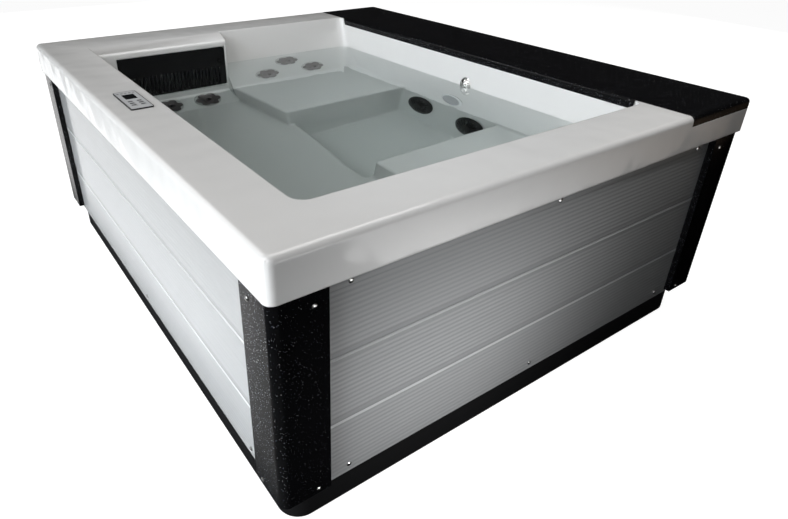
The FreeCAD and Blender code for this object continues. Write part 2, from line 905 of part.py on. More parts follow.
# Control panel
def button_spots():
    """Centres of the buttons in plan."""
    spots = []
    for row in range(button_rows):
        for column in range(button_columns):
            x = panel_x + (column - (button_columns - 1) / 2) * button_column_pitch
            y = panel_y + button_y + (row - (button_rows - 1) / 2) * button_row_pitch
            spots.append((x, y))
    return spots


def control_panel():
    """Housing under the rim with a flange on top, pockets for the display and the buttons."""
    half_w = panel_width / 2
    half_l = panel_length / 2
    flange = prism(rounded_rectangle(panel_x - half_w, panel_x + half_w, panel_y - half_l, panel_y + half_l,
                                     rim_height, panel_corner_radius), panel_flange)
    panel = flange.fuse(panel_body(0.0, panel_body_depth))
    top = rim_height + panel_flange
    y = panel_y + display_y
    panel = panel.cut(box(panel_x - display_width / 2, panel_x + display_width / 2, y - display_length / 2,
                          y + display_length / 2, top - display_thickness, top + display_thickness))
    for x, y in button_spots():
        half_x = button_width / 2 + button_clearance
        half_y = button_length / 2 + button_clearance
        panel = panel.cut(box(x - half_x, x + half_x, y - half_y, y + half_y,
                              rim_height + button_floor, top + button_rise))
    return panel.removeSplitter()


def control_display():
    y = panel_y + display_y
    top = rim_height + panel_flange
    return box(panel_x - display_width / 2, panel_x + display_width / 2, y - display_length / 2,
               y + display_length / 2, top - display_thickness, top)


def control_button(spot):
    """Press button that stands a little proud of the flange."""
    x, y = spot
    low = rim_height + button_floor + button_travel + button_clearance
    high = rim_height + panel_flange + button_rise
    edge = min(button_width, button_length) / 6
    return prism(rounded_rectangle(x - button_width / 2, x + button_width / 2, y - button_length / 2,
                                   y + button_length / 2, low, edge), high - low)


# Filter
grille_front = housing_front + grille_clearance
grille_left = mouth_left + grille_clearance
grille_right = mouth_right - grille_clearance
grille_bottom = mouth_bottom + grille_clearance
grille_top = mouth_top - grille_clearance
knob_x = grille_right - knob_inset
knob_z = grille_top - knob_drop


def filter_box():
    """Open-fronted box bonded behind the pocket."""
    front = housing_front + mouth_depth + shell_wall
    return filter_chamber(shell_wall, front).cut(filter_chamber(0.0, front - shell_wall))


def filter_grille():
    """Black grille: plain fascia above, upright slots below."""
    grille_back = grille_front + grille_thickness
    plate = box(grille_left, grille_right, grille_front, grille_back, grille_bottom, grille_top)
    corners = [e for e in plate.Edges if abs(e.BoundBox.YLength - grille_thickness) < grille_clearance]
    plate = plate.makeFillet(grille_corner_radius, corners)
    slot_low = grille_bottom + grille_border
    slot_high = grille_top - grille_fascia
    pitch = (grille_right - grille_left - 2 * grille_border - slot_width) / (slot_count - 1)
    slots = []
    for i in range(slot_count):
        x = grille_left + grille_border + i * pitch
        slots.append(box(x, x + slot_width, grille_front - grille_thickness, grille_back + grille_thickness,
                         slot_low, slot_high))
    plate = plate.cut(Part.makeCompound(slots))
    hole = Part.makeCylinder(knob_stem_radius + shaft_clearance, 3 * grille_thickness,
                             V(knob_x, grille_front - grille_thickness, knob_z), V(0, 1, 0))
    return plate.cut(hole)


def grille_knob():
    """Small quarter-turn knob with a finger bar."""
    knob = turned([(0, knob_height), (knob_radius * 0.8, knob_height), (knob_radius, knob_height * 0.5),
                   (knob_radius, jet_clearance), (knob_stem_radius, jet_clearance),
                   (knob_stem_radius, -grille_thickness), (0, -grille_thickness)])
    for s in (-1, 1):
        y = sorted((s * knob_radius * 0.3, s * knob_radius * 1.2))
        knob = knob.cut(box(-knob_radius, knob_radius, y[0], y[1], knob_height * 0.5, knob_height * 1.5))
    return placed(knob, V(knob_x, grille_front, knob_z), V(0, -1, 0))


def filter_cartridge(index):
    """Pleated cartridge with two end caps, standing in the chamber."""
    low = mouth_bottom + chamber_ledge
    high = mouth_top - chamber_ledge - cartridge_cap
    quarter = (mouth_right - mouth_left) / 4
    x = mouth_left + quarter * (1 + 2 * index)
    y = chamber_back - cartridge_radius - grille_clearance * 2
    points = []
    for i in range(2 * cartridge_pleats):
        angle = math.pi * i / cartridge_pleats
        r = cartridge_radius - pleat_inset - (i % 2) * pleat_depth
        points.append(V(x + r * math.cos(angle), y + r * math.sin(angle), low + cartridge_cap))
    pleats = prism(polygon(points), high - low - 2 * cartridge_cap)
    caps = [Part.makeCylinder(cartridge_radius, cartridge_cap, V(x, y, low)),
            Part.makeCylinder(cartridge_radius, cartridge_cap, V(x, y, high - cartridge_cap))]
    core = Part.makeCylinder(cartridge_core_radius, high - low, V(x, y, low + cartridge_cap))
    return fused([pleats] + caps).cut(core)


# Jets
def jet_body():
    """Barrel through the wall with a flange inside the tub and a pipe stub behind."""
    back = -jet_barrel_length
    end = back - jet_stub_length
    stub_bore = jet_stub_radius - jet_stub_wall
    flat = jet_flange_radius - jet_flange_bevel
    return turned([(jet_bore_radius, jet_flange_thickness), (flat, jet_flange_thickness),
                   (jet_flange_radius, jet_flange_thickness / 2), (jet_flange_radius, 0),
                   (jet_barrel_radius, 0), (jet_barrel_radius, back), (jet_stub_radius, back - jet_neck),
                   (jet_stub_radius, end), (stub_bore, end), (stub_bore, back - jet_neck + jet_stub_wall),
                   (jet_bore_radius, back + jet_neck)])


def jet_nut():
    """Ring nut that clamps the wall from behind."""
    top = -shell_wall
    inner = jet_barrel_radius + jet_clearance
    return turned([(inner, top), (jet_nut_radius, top), (jet_nut_radius, top - jet_nut_thickness * 0.4),
                   (jet_nut_radius - jet_nut_bevel, top - jet_nut_thickness),
                   (inner, top - jet_nut_thickness)])


def jet_face():
    """Scalloped face that turns in the body's bore, with a nozzle through its middle."""
    low = jet_flange_thickness + jet_clearance
    step = 2 * math.pi / jet_lobes
    shoulder = (jet_face_radius + jet_face_waist) / 2

    def at(radius, angle):
        return V(radius * math.cos(angle), radius * math.sin(angle), low)

    edges = []
    for i in range(jet_lobes):
        a = i * step
        edges.append(Part.Arc(at(shoulder, a - step * 0.3), at(jet_face_radius, a),
                              at(shoulder, a + step * 0.3)).toShape())
        edges.append(Part.Arc(at(shoulder, a + step * 0.3), at(jet_face_waist, a + step / 2),
                              at(shoulder, a + step * 0.7)).toShape())
    disc = prism(Part.Wire(edges), jet_face_thickness)
    top = low + jet_face_thickness
    nose = turned([(0, top), (jet_face_waist * 0.7, top), (jet_nozzle_radius * 1.8, top + jet_nose_height),
                   (0, top + jet_nose_height)])
    barrel = Part.makeCylinder(jet_bore_radius - jet_clearance, jet_barrel_length * 0.6 + low,
                               V(0, 0, -jet_barrel_length * 0.6))
    nozzle = Part.makeCylinder(jet_nozzle_radius, 3 * jet_barrel_length, V(0, 0, -2 * jet_barrel_length))
    return fused([disc, nose, barrel]).cut(nozzle)


# Suction, light and overflow
def suction_cover():
    """Domed cover with radial slots."""
    cap = dome(suction_radius, suction_dome, suction_skin, suction_flange)
    slot = box(suction_radius * 0.3, suction_radius * 0.78, -suction_slot_width / 2, suction_slot_width / 2,
               suction_flange, suction_flange + 2 * suction_dome)
    for i in range(suction_slots):
        cutter = slot.copy()
        cutter.rotate(V(0, 0, 0), V(0, 0, 1), 360.0 * i / suction_slots)
        cap = cap.cut(cutter)
    return cap


def suction_body():
    """Cup behind the wall with a flange inside and a pipe stub."""
    back = -suction_barrel_length
    inner = suction_barrel_radius - suction_wall
    rim = suction_radius - suction_lip
    end = back - suction_stub_length
    stub_bore = suction_stub_radius - suction_stub_wall
    return turned([(inner, suction_flange), (rim, suction_flange), (rim, 0), (suction_barrel_radius, 0),
                   (suction_barrel_radius, back), (suction_stub_radius, back - suction_neck),
                   (suction_stub_radius, end), (stub_bore, end), (stub_bore, back - suction_wall),
                   (inner, back + suction_wall)])


def light_housing():
    """Sealed cup behind the lens."""
    back = -light_barrel_length
    rim = light_radius - light_lip
    return turned([(0, light_flange), (rim, light_flange), (rim, 0), (light_barrel_radius, 0),
                   (light_barrel_radius, back), (0, back)])


def overflow_fitting():
    """Slotted dome with its stem through the wall."""
    cap = dome(overflow_radius, overflow_dome, 0, 0.0)
    for i in range(overflow_slots):
        half = overflow_slot_width / 2
        cutter = box(overflow_radius * 0.35, overflow_radius, -half, half, overflow_dome * 0.25,
                     overflow_dome * 2)
        cutter.rotate(V(0, 0, 0), V(0, 0, 1), 360.0 * i / overflow_slots)
        cap = cap.cut(cutter)
    stem = Part.makeCylinder(overflow_stem_radius, overflow_stem_length, V(0, 0, -overflow_stem_length))
    return fused([cap, stem])


# Equipment bay
volute_back = pump_y
volute_front = pump_y - volute_length
inlet_end = volute_front - pump_port_length
outlet_y = pump_y - volute_length / 2
outlet_end = pump_z + volute_radius + pump_outlet_length


def along_y(shape, y):
    """Copy of a part made about Z, laid along the pump's axis with its height towards +Y."""
    return placed(shape, V(pump_x, y, pump_z), V(0, 1, 0))


def pump_motor():
    """Motor with a domed fan cowl, standing on its foot."""
    bell = motor_radius * 0.8
    profile = [(0, 0), (bell, 0), (motor_radius, motor_radius * 0.25),
               (motor_radius, motor_length - motor_cowl), (bell, motor_length), (0, motor_length)]
    barrel = along_y(turned(profile), volute_back)
    y = volute_back + motor_length / 2
    foot = box(pump_x - motor_foot_width / 2, pump_x + motor_foot_width / 2, y - motor_foot_length / 2,
               y + motor_foot_length / 2, base_wall, pump_z - motor_radius * 0.6)
    bore = Part.makeCylinder(shaft_radius + shaft_clearance, shaft_bore_depth,
                             V(pump_x, volute_back, pump_z), V(0, 1, 0))
    return fused([barrel, foot]).cut(bore)


def pump_volute():
    """Hollow pump casing with an inlet on its axis and an outlet on top."""
    case = along_y(Part.makeCylinder(volute_radius, volute_length), volute_front)
    inlet = Part.makeCylinder(pump_port_radius, pump_port_length + volute_wall,
                              V(pump_x, inlet_end, pump_z), V(0, 1, 0))
    outlet = Part.makeCylinder(pump_port_radius, outlet_end - pump_z, V(pump_x, outlet_y, pump_z))
    room = along_y(Part.makeCylinder(volute_radius - volute_wall, volute_length - 2 * volute_wall),
                   volute_front + volute_wall)
    port_bore = pump_port_radius - pump_port_wall
    bore = Part.makeCylinder(port_bore, pump_port_length + 2 * volute_wall,
                             V(pump_x, inlet_end, pump_z), V(0, 1, 0))
    riser = Part.makeCylinder(port_bore, outlet_end - pump_z, V(pump_x, outlet_y, pump_z))
    shaft_way = Part.makeCylinder(shaft_radius + jet_clearance, 3 * volute_wall,
                                  V(pump_x, volute_back - 2 * volute_wall, pump_z), V(0, 1, 0))
    return fused([case, inlet, outlet]).cut(room).cut(bore).cut(riser).cut(shaft_way)


def pump_impeller():
    """Back plate with curved blades on the shaft that runs in the motor."""
    plate_y = volute_back - volute_wall - impeller_gap
    plate = along_y(Part.makeCylinder(impeller_radius, impeller_plate), plate_y)
    tall = volute_length - 2 * volute_wall - 2 * impeller_gap
    sweep = math.radians(blade_sweep)

    def at(radius, angle):
        return V(radius * math.cos(angle), radius * math.sin(angle), 0)

    blades = []
    for i in range(impeller_blades):
        a = 2 * math.pi * i / impeller_blades
        inner = at(impeller_hub_radius * 0.9, a)
        middle = at(impeller_radius * 0.62, a + sweep * 0.4)
        outer = at(impeller_radius * 0.96, a + sweep)
        thick = at(blade_thickness, a + sweep * 0.65 - math.pi / 2)
        edges = [Part.Arc(inner, middle, outer).toShape(), Part.LineSegment(outer, outer + thick).toShape(),
                 Part.Arc(outer + thick, middle + thick, inner + thick).toShape(),
                 Part.LineSegment(inner + thick, inner).toShape()]
        blades.append(along_y(prism(Part.Wire(edges), tall), plate_y - tall))
    hub = along_y(Part.makeCylinder(impeller_hub_radius, tall), plate_y - tall)
    shaft_length = volute_back - plate_y + shaft_bore_depth - shaft_end_gap
    shaft = along_y(Part.makeCylinder(shaft_radius, shaft_length), plate_y)
    return fused([plate, hub, shaft] + blades)


heater_start = outlet_y + pipe_bend * 2
heater_end = heater_start + heater_length


def heater():
    """Heater tube with its elbow from the pump, end flanges and two saddles up to the control pack."""
    tube = Part.makeCylinder(heater_radius, heater_length, V(pump_x, heater_start, heater_z), V(0, 1, 0))
    elbow = pipe([V(pump_x, outlet_y, outlet_end), V(pump_x, outlet_y, heater_z),
                  V(pump_x, heater_start + heater_flange, heater_z)], pipe_radius, pipe_radius * 1.25)
    pieces = [tube, elbow]
    for y in (heater_start, heater_end - heater_flange):
        pieces.append(Part.makeCylinder(heater_radius + heater_flange_rise, heater_flange,
                                        V(pump_x, y, heater_z), V(0, 1, 0)))
    for y in (heater_start + heater_length * 0.3, heater_start + heater_length * 0.7):
        pieces.append(box(pump_x - saddle_width / 2, pump_x + saddle_width / 2, y - saddle_length / 2,
                          y + saddle_length / 2, heater_z, pack_low()))
    return fused(pieces)


def pack_low():
    """Underside of the control pack, clear above the heater's flanges."""
    return heater_z + heater_radius + pack_gap


def control_pack():
    """Control box fixed to the upright, with a rounded cover."""
    right = frame_x - frame_bar
    body = box(right - pack_width, right, pack_y - pack_length / 2, pack_y + pack_length / 2,
               pack_low(), pack_low() + pack_height)
    left = [e for e in body.Edges if max(v.X for v in e.Vertexes) < right - pack_width + 0.1]
    return body.makeFillet(pack_corner_radius, left)


def jet_back(place):
    """End of a jet's stub and the way that it points."""
    point, normal = place
    return point - normal * (jet_barrel_length + jet_stub_length), normal * -1


def jet_manifold():
    """Main pipe behind the back rest with a branch to every jet."""
    last = jet_places[-1][0].x - pipe_radius * 2
    main = pipe([V(pump_x, heater_end, heater_z), V(pump_x, manifold_y, heater_z),
                 V(last, manifold_y, heater_z)], pipe_radius, pipe_bend)
    pieces = [main]
    for place in jet_places:
        end, away = jet_back(place)
        corner = end + away * branch_run
        pieces.append(pipe([end, corner, V(end.x, manifold_y, heater_z)], jet_stub_radius, branch_bend))
    return fused(pieces)


def suction_manifold():
    """Pipe that takes both suction fittings to the pump's inlet."""
    z = suction_places[0][0].z - (suction_barrel_length + suction_stub_length) * slope(footwell_right_lean)
    far = suction_spread + suction_stub_radius
    pieces = [pipe([V(suction_pipe_x, -far - pipe_radius, z), V(suction_pipe_x, far, z),
                    V(pump_x, inlet_end - pipe_bend, pump_z), V(pump_x, inlet_end, pump_z)],
                   pipe_radius, pipe_bend * 0.8)]
    sockets = []
    for point, normal in suction_places:
        end = point - normal * (suction_barrel_length + suction_stub_length)
        length = pipe_socket_depth + pipe_radius
        pieces.append(Part.makeCylinder(suction_stub_radius + pipe_socket_wall, length,
                                        end + normal * pipe_socket_depth, normal * -1))
        sockets.append(Part.makeCylinder(suction_stub_radius + shaft_clearance, pipe_socket_depth,
                                         end + normal * pipe_socket_depth, normal * -1))
    manifold = fused(pieces)
    for cutter in sockets:
        manifold = manifold.cut(cutter)
    return manifold


os.makedirs("parts", exist_ok=True)

write("base_pan", base_pan())
write("frame_uprights", frame_uprights())
write("frame_rails", frame_rails())
write("frame_battens", frame_battens())
write("tub_shell", tub_shell())
write("equipment_lid", equipment_lid())

for side_name in ("front", "back", "left", "right"):
    for number in range(plank_count):
        write("plank_%s_%d" % (side_name, number + 1), plank(side_name, number))

post_names = {(-1, -1): "front_left", (1, -1): "front_right", (1, 1): "back_right", (-1, 1): "back_left"}
for (sign_x, sign_y), post_name in post_names.items():
    write("corner_post_" + post_name, corner_post(sign_x, sign_y))
post_screw_length = plank_inset - post_inset + plank_thickness + screw_bite
plank_screw_length = plank_thickness + screw_bite
screws = [screw(point, outward, post_screw_length) for point, outward in post_screws]
screws += [screw(point, outward, plank_screw_length) for point, outward in plank_screws]
write("cladding_screws", screws)

write("control_panel", control_panel())
write("control_display", control_display())
for number, button_spot in enumerate(button_spots()):
    write("control_button_%d" % (number + 1), control_button(button_spot))

write("filter_box", filter_box())
write("filter_grille", filter_grille())
write("grille_knob", grille_knob())
for number in range(2):
    write("filter_cartridge_%d" % (number + 1), filter_cartridge(number))

for number, jet_place in enumerate(jet_places):
    write("jet_body_%d" % (number + 1), placed(jet_body(), *jet_place))
    write("jet_face_%d" % (number + 1), placed(jet_face(), *jet_place))
write("jet_nuts", [placed(jet_nut(), *jet_place) for jet_place in jet_places])

for number, suction_place in enumerate(suction_places):
    write("suction_cover_%d" % (number + 1), placed(suction_cover(), *suction_place))
write("suction_bodies", [placed(suction_body(), *suction_place) for suction_place in suction_places])
write("light_housing", placed(light_housing(), *light_place))
write("light_lens", placed(dome(light_radius, light_dome, 0, light_flange), *light_place))
write("overflow_fitting", placed(overflow_fitting(), *overflow_place))

write("pump_motor", pump_motor())
write("pump_volute", pump_volute())
write("pump_impeller", pump_impeller())
write("heater", heater())
write("control_pack", control_pack())
write("jet_manifold", jet_manifold())
write("suction_manifold", suction_manifold())
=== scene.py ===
"""Looks of the hot tub: finishes of its solids, the water in its basin, and the studio around it."""

import logging
import math
from dataclasses import dataclass
from enum import Enum, IntEnum
from functools import lru_cache
from typing import Dict, List, Optional, Sequence, Tuple, Union

import bpy
import numpy as np
from mathutils import Matrix, Vector


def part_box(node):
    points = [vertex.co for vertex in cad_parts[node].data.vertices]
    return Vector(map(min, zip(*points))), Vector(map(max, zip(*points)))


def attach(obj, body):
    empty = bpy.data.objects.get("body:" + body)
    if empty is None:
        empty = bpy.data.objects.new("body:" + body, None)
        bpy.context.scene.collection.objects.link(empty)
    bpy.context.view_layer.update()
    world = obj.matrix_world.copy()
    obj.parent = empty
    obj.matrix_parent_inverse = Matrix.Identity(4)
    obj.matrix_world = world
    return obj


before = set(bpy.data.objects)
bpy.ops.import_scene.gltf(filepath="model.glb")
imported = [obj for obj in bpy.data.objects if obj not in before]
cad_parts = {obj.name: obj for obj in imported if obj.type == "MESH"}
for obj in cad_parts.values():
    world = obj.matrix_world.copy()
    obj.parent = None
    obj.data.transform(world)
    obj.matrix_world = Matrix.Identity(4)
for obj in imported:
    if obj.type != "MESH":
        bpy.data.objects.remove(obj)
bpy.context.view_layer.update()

log = logging.getLogger("hot_tub")

Colour = Tuple[float, float, float]
Point = Tuple[float, float, float]
Pair = Tuple[float, float]
Socket = bpy.types.NodeSocket
Value = Union[Socket, float, Colour, Vector]
Inputs = Dict[Union[str, int], Value]

WHITE: Colour = (1.0, 1.0, 1.0)
INK: Colour = (0.02, 0.02, 0.022)
LEVEL_PART: Point = (1.0, 1.0, 0.0)
BUMP_DEPTH = 0.01
SHARP_ANGLE = 32.0
WELD_GAP = 1e-6
FLOOR_REACH = 40.0
SENSOR_WIDTH = 36.0


class Axis(IntEnum):
    """Coordinates of a vector."""

    X = 0
    Y = 1
    Z = 2


class Calc(Enum):
    """What a number node works out from two numbers."""

    PRODUCT = "MULTIPLY"
    LARGER = "MAXIMUM"
    BELOW = "LESS_THAN"
    DIFFERENCE = "SUBTRACT"
    REMAINDER = "MODULO"
    FOLDED = "PINGPONG"


class Mixing(Enum):
    """Ways to bring two colours together."""

    BETWEEN = "MIX"
    PRODUCT = "MULTIPLY"


class ColourMix(IntEnum):
    """Sockets of Blender's Mix node when it mixes colours."""

    SHARE = 0
    FIRST = 6
    SECOND = 7
    RESULT = 2


class Side(Enum):
    """Sides of the tub, as the planks' names have them."""

    FRONT = "front"
    BACK = "back"
    LEFT = "left"
    RIGHT = "right"


class Corner(Enum):
    """Corners of the tub, as the posts' names have them."""

    FRONT_LEFT = "front_left"
    FRONT_RIGHT = "front_right"
    BACK_RIGHT = "back_right"
    BACK_LEFT = "back_left"


@dataclass(frozen=True)
class Slope:
    """A value that goes from low to high while what drives it goes from start to end, held beyond both.

    Attributes:
        start: where it is low.
        end: where it is high.
        low: first value.
        high: last value.
    """

    start: float
    end: float
    low: float
    high: float


class Nodes:
    """A node tree with short ways to add and feed nodes."""

    def __init__(self, tree: bpy.types.NodeTree) -> None:
        """Work on the tree of a material, a group or a world."""
        self.tree = tree

    def feed(self, target: Socket, value: Value) -> None:
        """Link a socket to an input, or set the input to a plain value.

        Args:
            target: the input.
            value: another node's output, or a number, vector or colour.
        """
        if isinstance(value, Socket):
            self.tree.links.new(value, target)
        elif target.type == "RGBA":
            target.default_value = (*value, 1.0)
        else:
            target.default_value = value

    def add(self, kind: str, inputs: Optional[Inputs] = None, **settings: object) -> bpy.types.Node:
        """Add a node, set its properties and feed its inputs.

        Args:
            kind: Blender's node type.
            inputs: values by the name or number of the input.
            **settings: properties of the node.

        Returns:
            The new node.
        """
        node = self.tree.nodes.new(kind)
        for key, value in settings.items():
            setattr(node, key, value)
        for key, value in (inputs or {}).items():
            self.feed(node.inputs[key], value)
        return node

    def calc(self, kind: Calc, first: Value, second: Value) -> Socket:
        """Number worked out from two others, each a socket or a plain number."""
        return self.add("ShaderNodeMath", {0: first, 1: second}, operation=kind.value).outputs[0]

    def part(self, source: Socket, axis: Axis) -> Socket:
        """One coordinate of a vector socket."""
        return self.add("ShaderNodeSeparateXYZ", {0: source}).outputs[axis]

    def ramp(self, source: Socket, slope: Slope) -> Socket:
        """Value of a slope that a socket drives."""
        ends = {"From Min": slope.start, "From Max": slope.end, "To Min": slope.low, "To Max": slope.high}
        return self.add("ShaderNodeMapRange", {"Value": source, **ends}).outputs["Result"]

    def product(self, source: Socket, slopes: Sequence[Slope]) -> Socket:
        """Product of slopes that one socket drives.

        Args:
            source: the socket.
            slopes: one slope or more.

        Returns:
            The product's socket.
        """
        result = self.ramp(source, slopes[0])
        for slope in slopes[1:]:
            result = self.calc(Calc.PRODUCT, result, self.ramp(source, slope))
        return result

    def blend(self, share: Value, first: Value, second: Value, way: Mixing = Mixing.BETWEEN) -> Socket:
        """Colour made of two others.

        Args:
            share: 0 for the first colour alone, 1 for the second or the product.
            first: a colour or its socket.
            second: a colour or its socket.
            way: how they come together.

        Returns:
            The colour's socket.
        """
        inputs = {ColourMix.SHARE: share, ColourMix.FIRST: first, ColourMix.SECOND: second}
        node = self.add("ShaderNodeMix", inputs, data_type="RGBA", blend_type=way.value)
        return node.outputs[ColourMix.RESULT]

    def shades(self, share: Socket, dark: Colour, pale: Colour, start: float = 0.0,
               end: float = 1.0) -> Socket:
        """Colour between a dark and a pale shade.

        Args:
            share: the socket that drives it.
            dark: colour up to the start.
            pale: colour from the end on.
            start: share for the dark shade.
            end: share for the pale shade.

        Returns:
            The colour's socket.
        """
        node = self.add("ShaderNodeValToRGB", {0: share})
        for element, position, colour in zip(node.color_ramp.elements, (start, end), (dark, pale)):
            element.position = position
            element.color = (*colour, 1.0)
        return node.outputs[0]

    def noise(self, place: Socket, scale: float, detail: float) -> Socket:
        """Cloudy noise from 0 to 1, with a number of clouds per metre and of finer layers."""
        inputs = {"Vector": place, "Scale": scale, "Detail": detail}
        return self.add("ShaderNodeTexNoise", inputs).outputs["Fac"]

    def bump(self, height: Socket, strength: float, normal: Optional[Socket] = None) -> Socket:
        """Normal of an uneven skin.

        Args:
            height: the socket that raises it.
            strength: how much of the bump shows.
            normal: the normal to start from, where it isn't the face's own.

        Returns:
            The normal's socket.
        """
        node = self.add("ShaderNodeBump", {"Height": height, "Strength": strength, "Distance": BUMP_DEPTH})
        if normal is not None:
            self.feed(node.inputs["Normal"], normal)
        return node.outputs["Normal"]

    def choose(self, share: Socket, first: Socket, second: Socket) -> Socket:
        """Shader that is the first where the share is 0 and the second where it is 1."""
        return self.add("ShaderNodeMixShader", {0: share, 1: first, 2: second}).outputs[0]

    def direct_rays(self, path: bpy.types.Node) -> Socket:
        """1 for rays that have met no matt face, from a Light Path node."""
        return self.calc(Calc.BELOW, path.outputs["Diffuse Depth"], 0.5)

    def camera_rays(self, path: bpy.types.Node) -> Socket:
        """1 for the camera's rays, also after clear pieces, as long as they have met no matt face.

        Args:
            path: a Light Path node.

        Returns:
            The mask's socket.
        """
        through = self.calc(Calc.PRODUCT, self.direct_rays(path), path.outputs["Is Transmission Ray"])
        return self.calc(Calc.LARGER, path.outputs["Is Camera Ray"], through)


class Sheet(Nodes):
    """A material's node tree."""

    def __init__(self, name: str) -> None:
        """Start a material.

        Args:
            name: its name.
        """
        self.material = bpy.data.materials.new(name)
        self.material.use_nodes = True
        super().__init__(self.material.node_tree)
        self.shader = self.tree.nodes["Principled BSDF"]
        self.output = self.tree.nodes["Material Output"]

    def put(self, **values: Value) -> None:
        """Feed the shader's sockets, named with underscores for blanks."""
        for key, value in values.items():
            self.feed(self.shader.inputs[key.replace("_", " ")], value)

    def place(self) -> Socket:
        """Object coordinates, which are metres in the shared frame."""
        return self.add("ShaderNodeTexCoord").outputs["Object"]


class Group(Nodes):
    """A shader node group with a place input, number inputs and number outputs."""

    def __init__(self, name: str, inputs: Dict[str, float], outputs: Sequence[str]) -> None:
        """Start the group with its sockets.

        Args:
            name: name of the group.
            inputs: names and defaults of its number inputs.
            outputs: names of its outputs.
        """
        super().__init__(bpy.data.node_groups.new(name, "ShaderNodeTree"))
        sockets = self.tree.interface
        sockets.new_socket("Place", in_out="INPUT", socket_type="NodeSocketVector")
        for key, value in inputs.items():
            socket = sockets.new_socket(key, in_out="INPUT", socket_type="NodeSocketFloat")
            socket.default_value = value
        for key in outputs:
            sockets.new_socket(key, in_out="OUTPUT", socket_type="NodeSocketFloat")
        self.inside = self.add("NodeGroupInput")
        self.outside = self.add("NodeGroupOutput")

    def given(self, name: str) -> Socket:
        """What the material hands to one of the inputs."""
        return self.inside.outputs[name]

    def result(self, name: str, value: Socket) -> None:
        """Hand a value to one of the outputs."""
        self.feed(self.outside.inputs[name], value)


@lru_cache(maxsize=None)
def speckle_group() -> bpy.types.NodeTree:
    """Fine specks in polished black: some cells of a Voronoi pattern hold a dot of their own size.

    A cell has a dot where its first number is below Share, and the dot's radius, in cells, follows its
    second number.

    Returns:
        Group with the outputs Speck, 0 or 1, and Tint, a number of each speck's own.
    """
    radii = Slope(0.0, 1.0, 0.08, 0.34)
    group = Group("speckle", {"Scale": 400.0, "Share": 0.18}, ("Speck", "Tint"))
    inputs = {"Vector": group.given("Place"), "Scale": group.given("Scale")}
    cells = group.add("ShaderNodeTexVoronoi", inputs)
    numbers = group.add("ShaderNodeSeparateColor", {0: cells.outputs["Color"]}).outputs
    chosen = group.calc(Calc.BELOW, numbers[0], group.given("Share"))
    dot = group.calc(Calc.BELOW, cells.outputs["Distance"], group.ramp(numbers[1], radii))
    group.result("Speck", group.calc(Calc.PRODUCT, chosen, dot))
    group.result("Tint", numbers[2])
    return group.tree


@lru_cache(maxsize=None)
def dashes_group() -> bpy.types.NodeTree:
    """Rows of small rectangles: a point is inside where both triangle waves are below the half sizes.

    With d(u, p) the distance from u to the nearest multiple of p, the mask is
    [d(x, pitch x) < half x] * [d(y, pitch y) < half y].

    Returns:
        Group with the output Mask, 0 or 1.
    """
    group = Group("dashes", {"Pitch X": 1.0, "Half X": 0.1, "Pitch Y": 1.0, "Half Y": 0.1}, ("Mask",))
    masks = []
    for axis in (Axis.X, Axis.Y):
        half_pitch = group.calc(Calc.PRODUCT, group.given(f"Pitch {axis.name}"), 0.5)
        away = group.calc(Calc.FOLDED, group.part(group.given("Place"), axis), half_pitch)
        masks.append(group.calc(Calc.BELOW, away, group.given(f"Half {axis.name}")))
    group.result("Mask", group.calc(Calc.PRODUCT, *masks))
    return group.tree


@dataclass(frozen=True)
class Marks:
    """Rows of small plain rectangles on a level face.

    Attributes:
        centre: plan place of one of them, in metres.
        pitch: their distances in x and y.
        half: half their sizes in x and y.
    """

    centre: Pair
    pitch: Pair
    half: Pair

    def mask(self, sheet: Sheet) -> Socket:
        """Where the rectangles are.

        Args:
            sheet: the material that gets them.

        Returns:
            Socket that is 1 on them and 0 elsewhere.
        """
        centre = (*self.centre, 0.0)
        moved = sheet.add("ShaderNodeVectorMath", {0: sheet.place(), 1: centre}, operation="SUBTRACT")
        sizes = dict(zip(("Pitch X", "Pitch Y", "Half X", "Half Y"), (*self.pitch, *self.half)))
        inputs = {"Place": moved.outputs[0], **sizes}
        return sheet.add("ShaderNodeGroup", inputs, node_tree=dashes_group()).outputs["Mask"]


@dataclass(frozen=True)
class Finish:
    """Surface of one material, plain as it stands.

    Attributes:
        name: plain name of the material.
        colour: linear base colour.
        roughness: microfacet roughness.
        metallic: 1 for bare metal.
        coat: weight of a clear coat.
        specular: level of the gloss, 0.5 for common plastics.
    """

    name: str
    colour: Colour
    roughness: float
    metallic: float = 0.0
    coat: float = 0.0
    specular: float = 0.5

    def paint(self, sheet: Sheet) -> None:
        """Set the material's shader.

        Args:
            sheet: the material, new.
        """
        sheet.put(Base_Color=self.colour, Roughness=self.roughness, Metallic=self.metallic,
                  Coat_Weight=self.coat, Specular_IOR_Level=self.specular)


@lru_cache(maxsize=None)
def material_of(finish: Finish) -> bpy.types.Material:
    """Material of a finish, made once.

    Args:
        finish: the finish.

    Returns:
        The material, the same at each call.
    """
    sheet = Sheet(finish.name)
    finish.paint(sheet)
    return sheet.material


@dataclass(frozen=True)
class Timber(Finish):
    """Wood with a cloudy mottle in its colour.

    Attributes:
        mottle: how far the colour goes up and down, as a share of it.
        clouds: mottles per metre.
        layers: finer layers of the mottle.
    """

    mottle: float = 0.25
    clouds: float = 60.0
    layers: float = 4.0

    def paint(self, sheet: Sheet) -> None:
        """Mix the colour with its mottle.

        Args:
            sheet: the material, new.
        """
        super().paint(sheet)
        dark = tuple(c * (1 - self.mottle) for c in self.colour)
        pale = tuple(c * (1 + self.mottle) for c in self.colour)
        sheet.put(Base_Color=sheet.shades(sheet.noise(sheet.place(), self.clouds, self.layers), dark, pale))


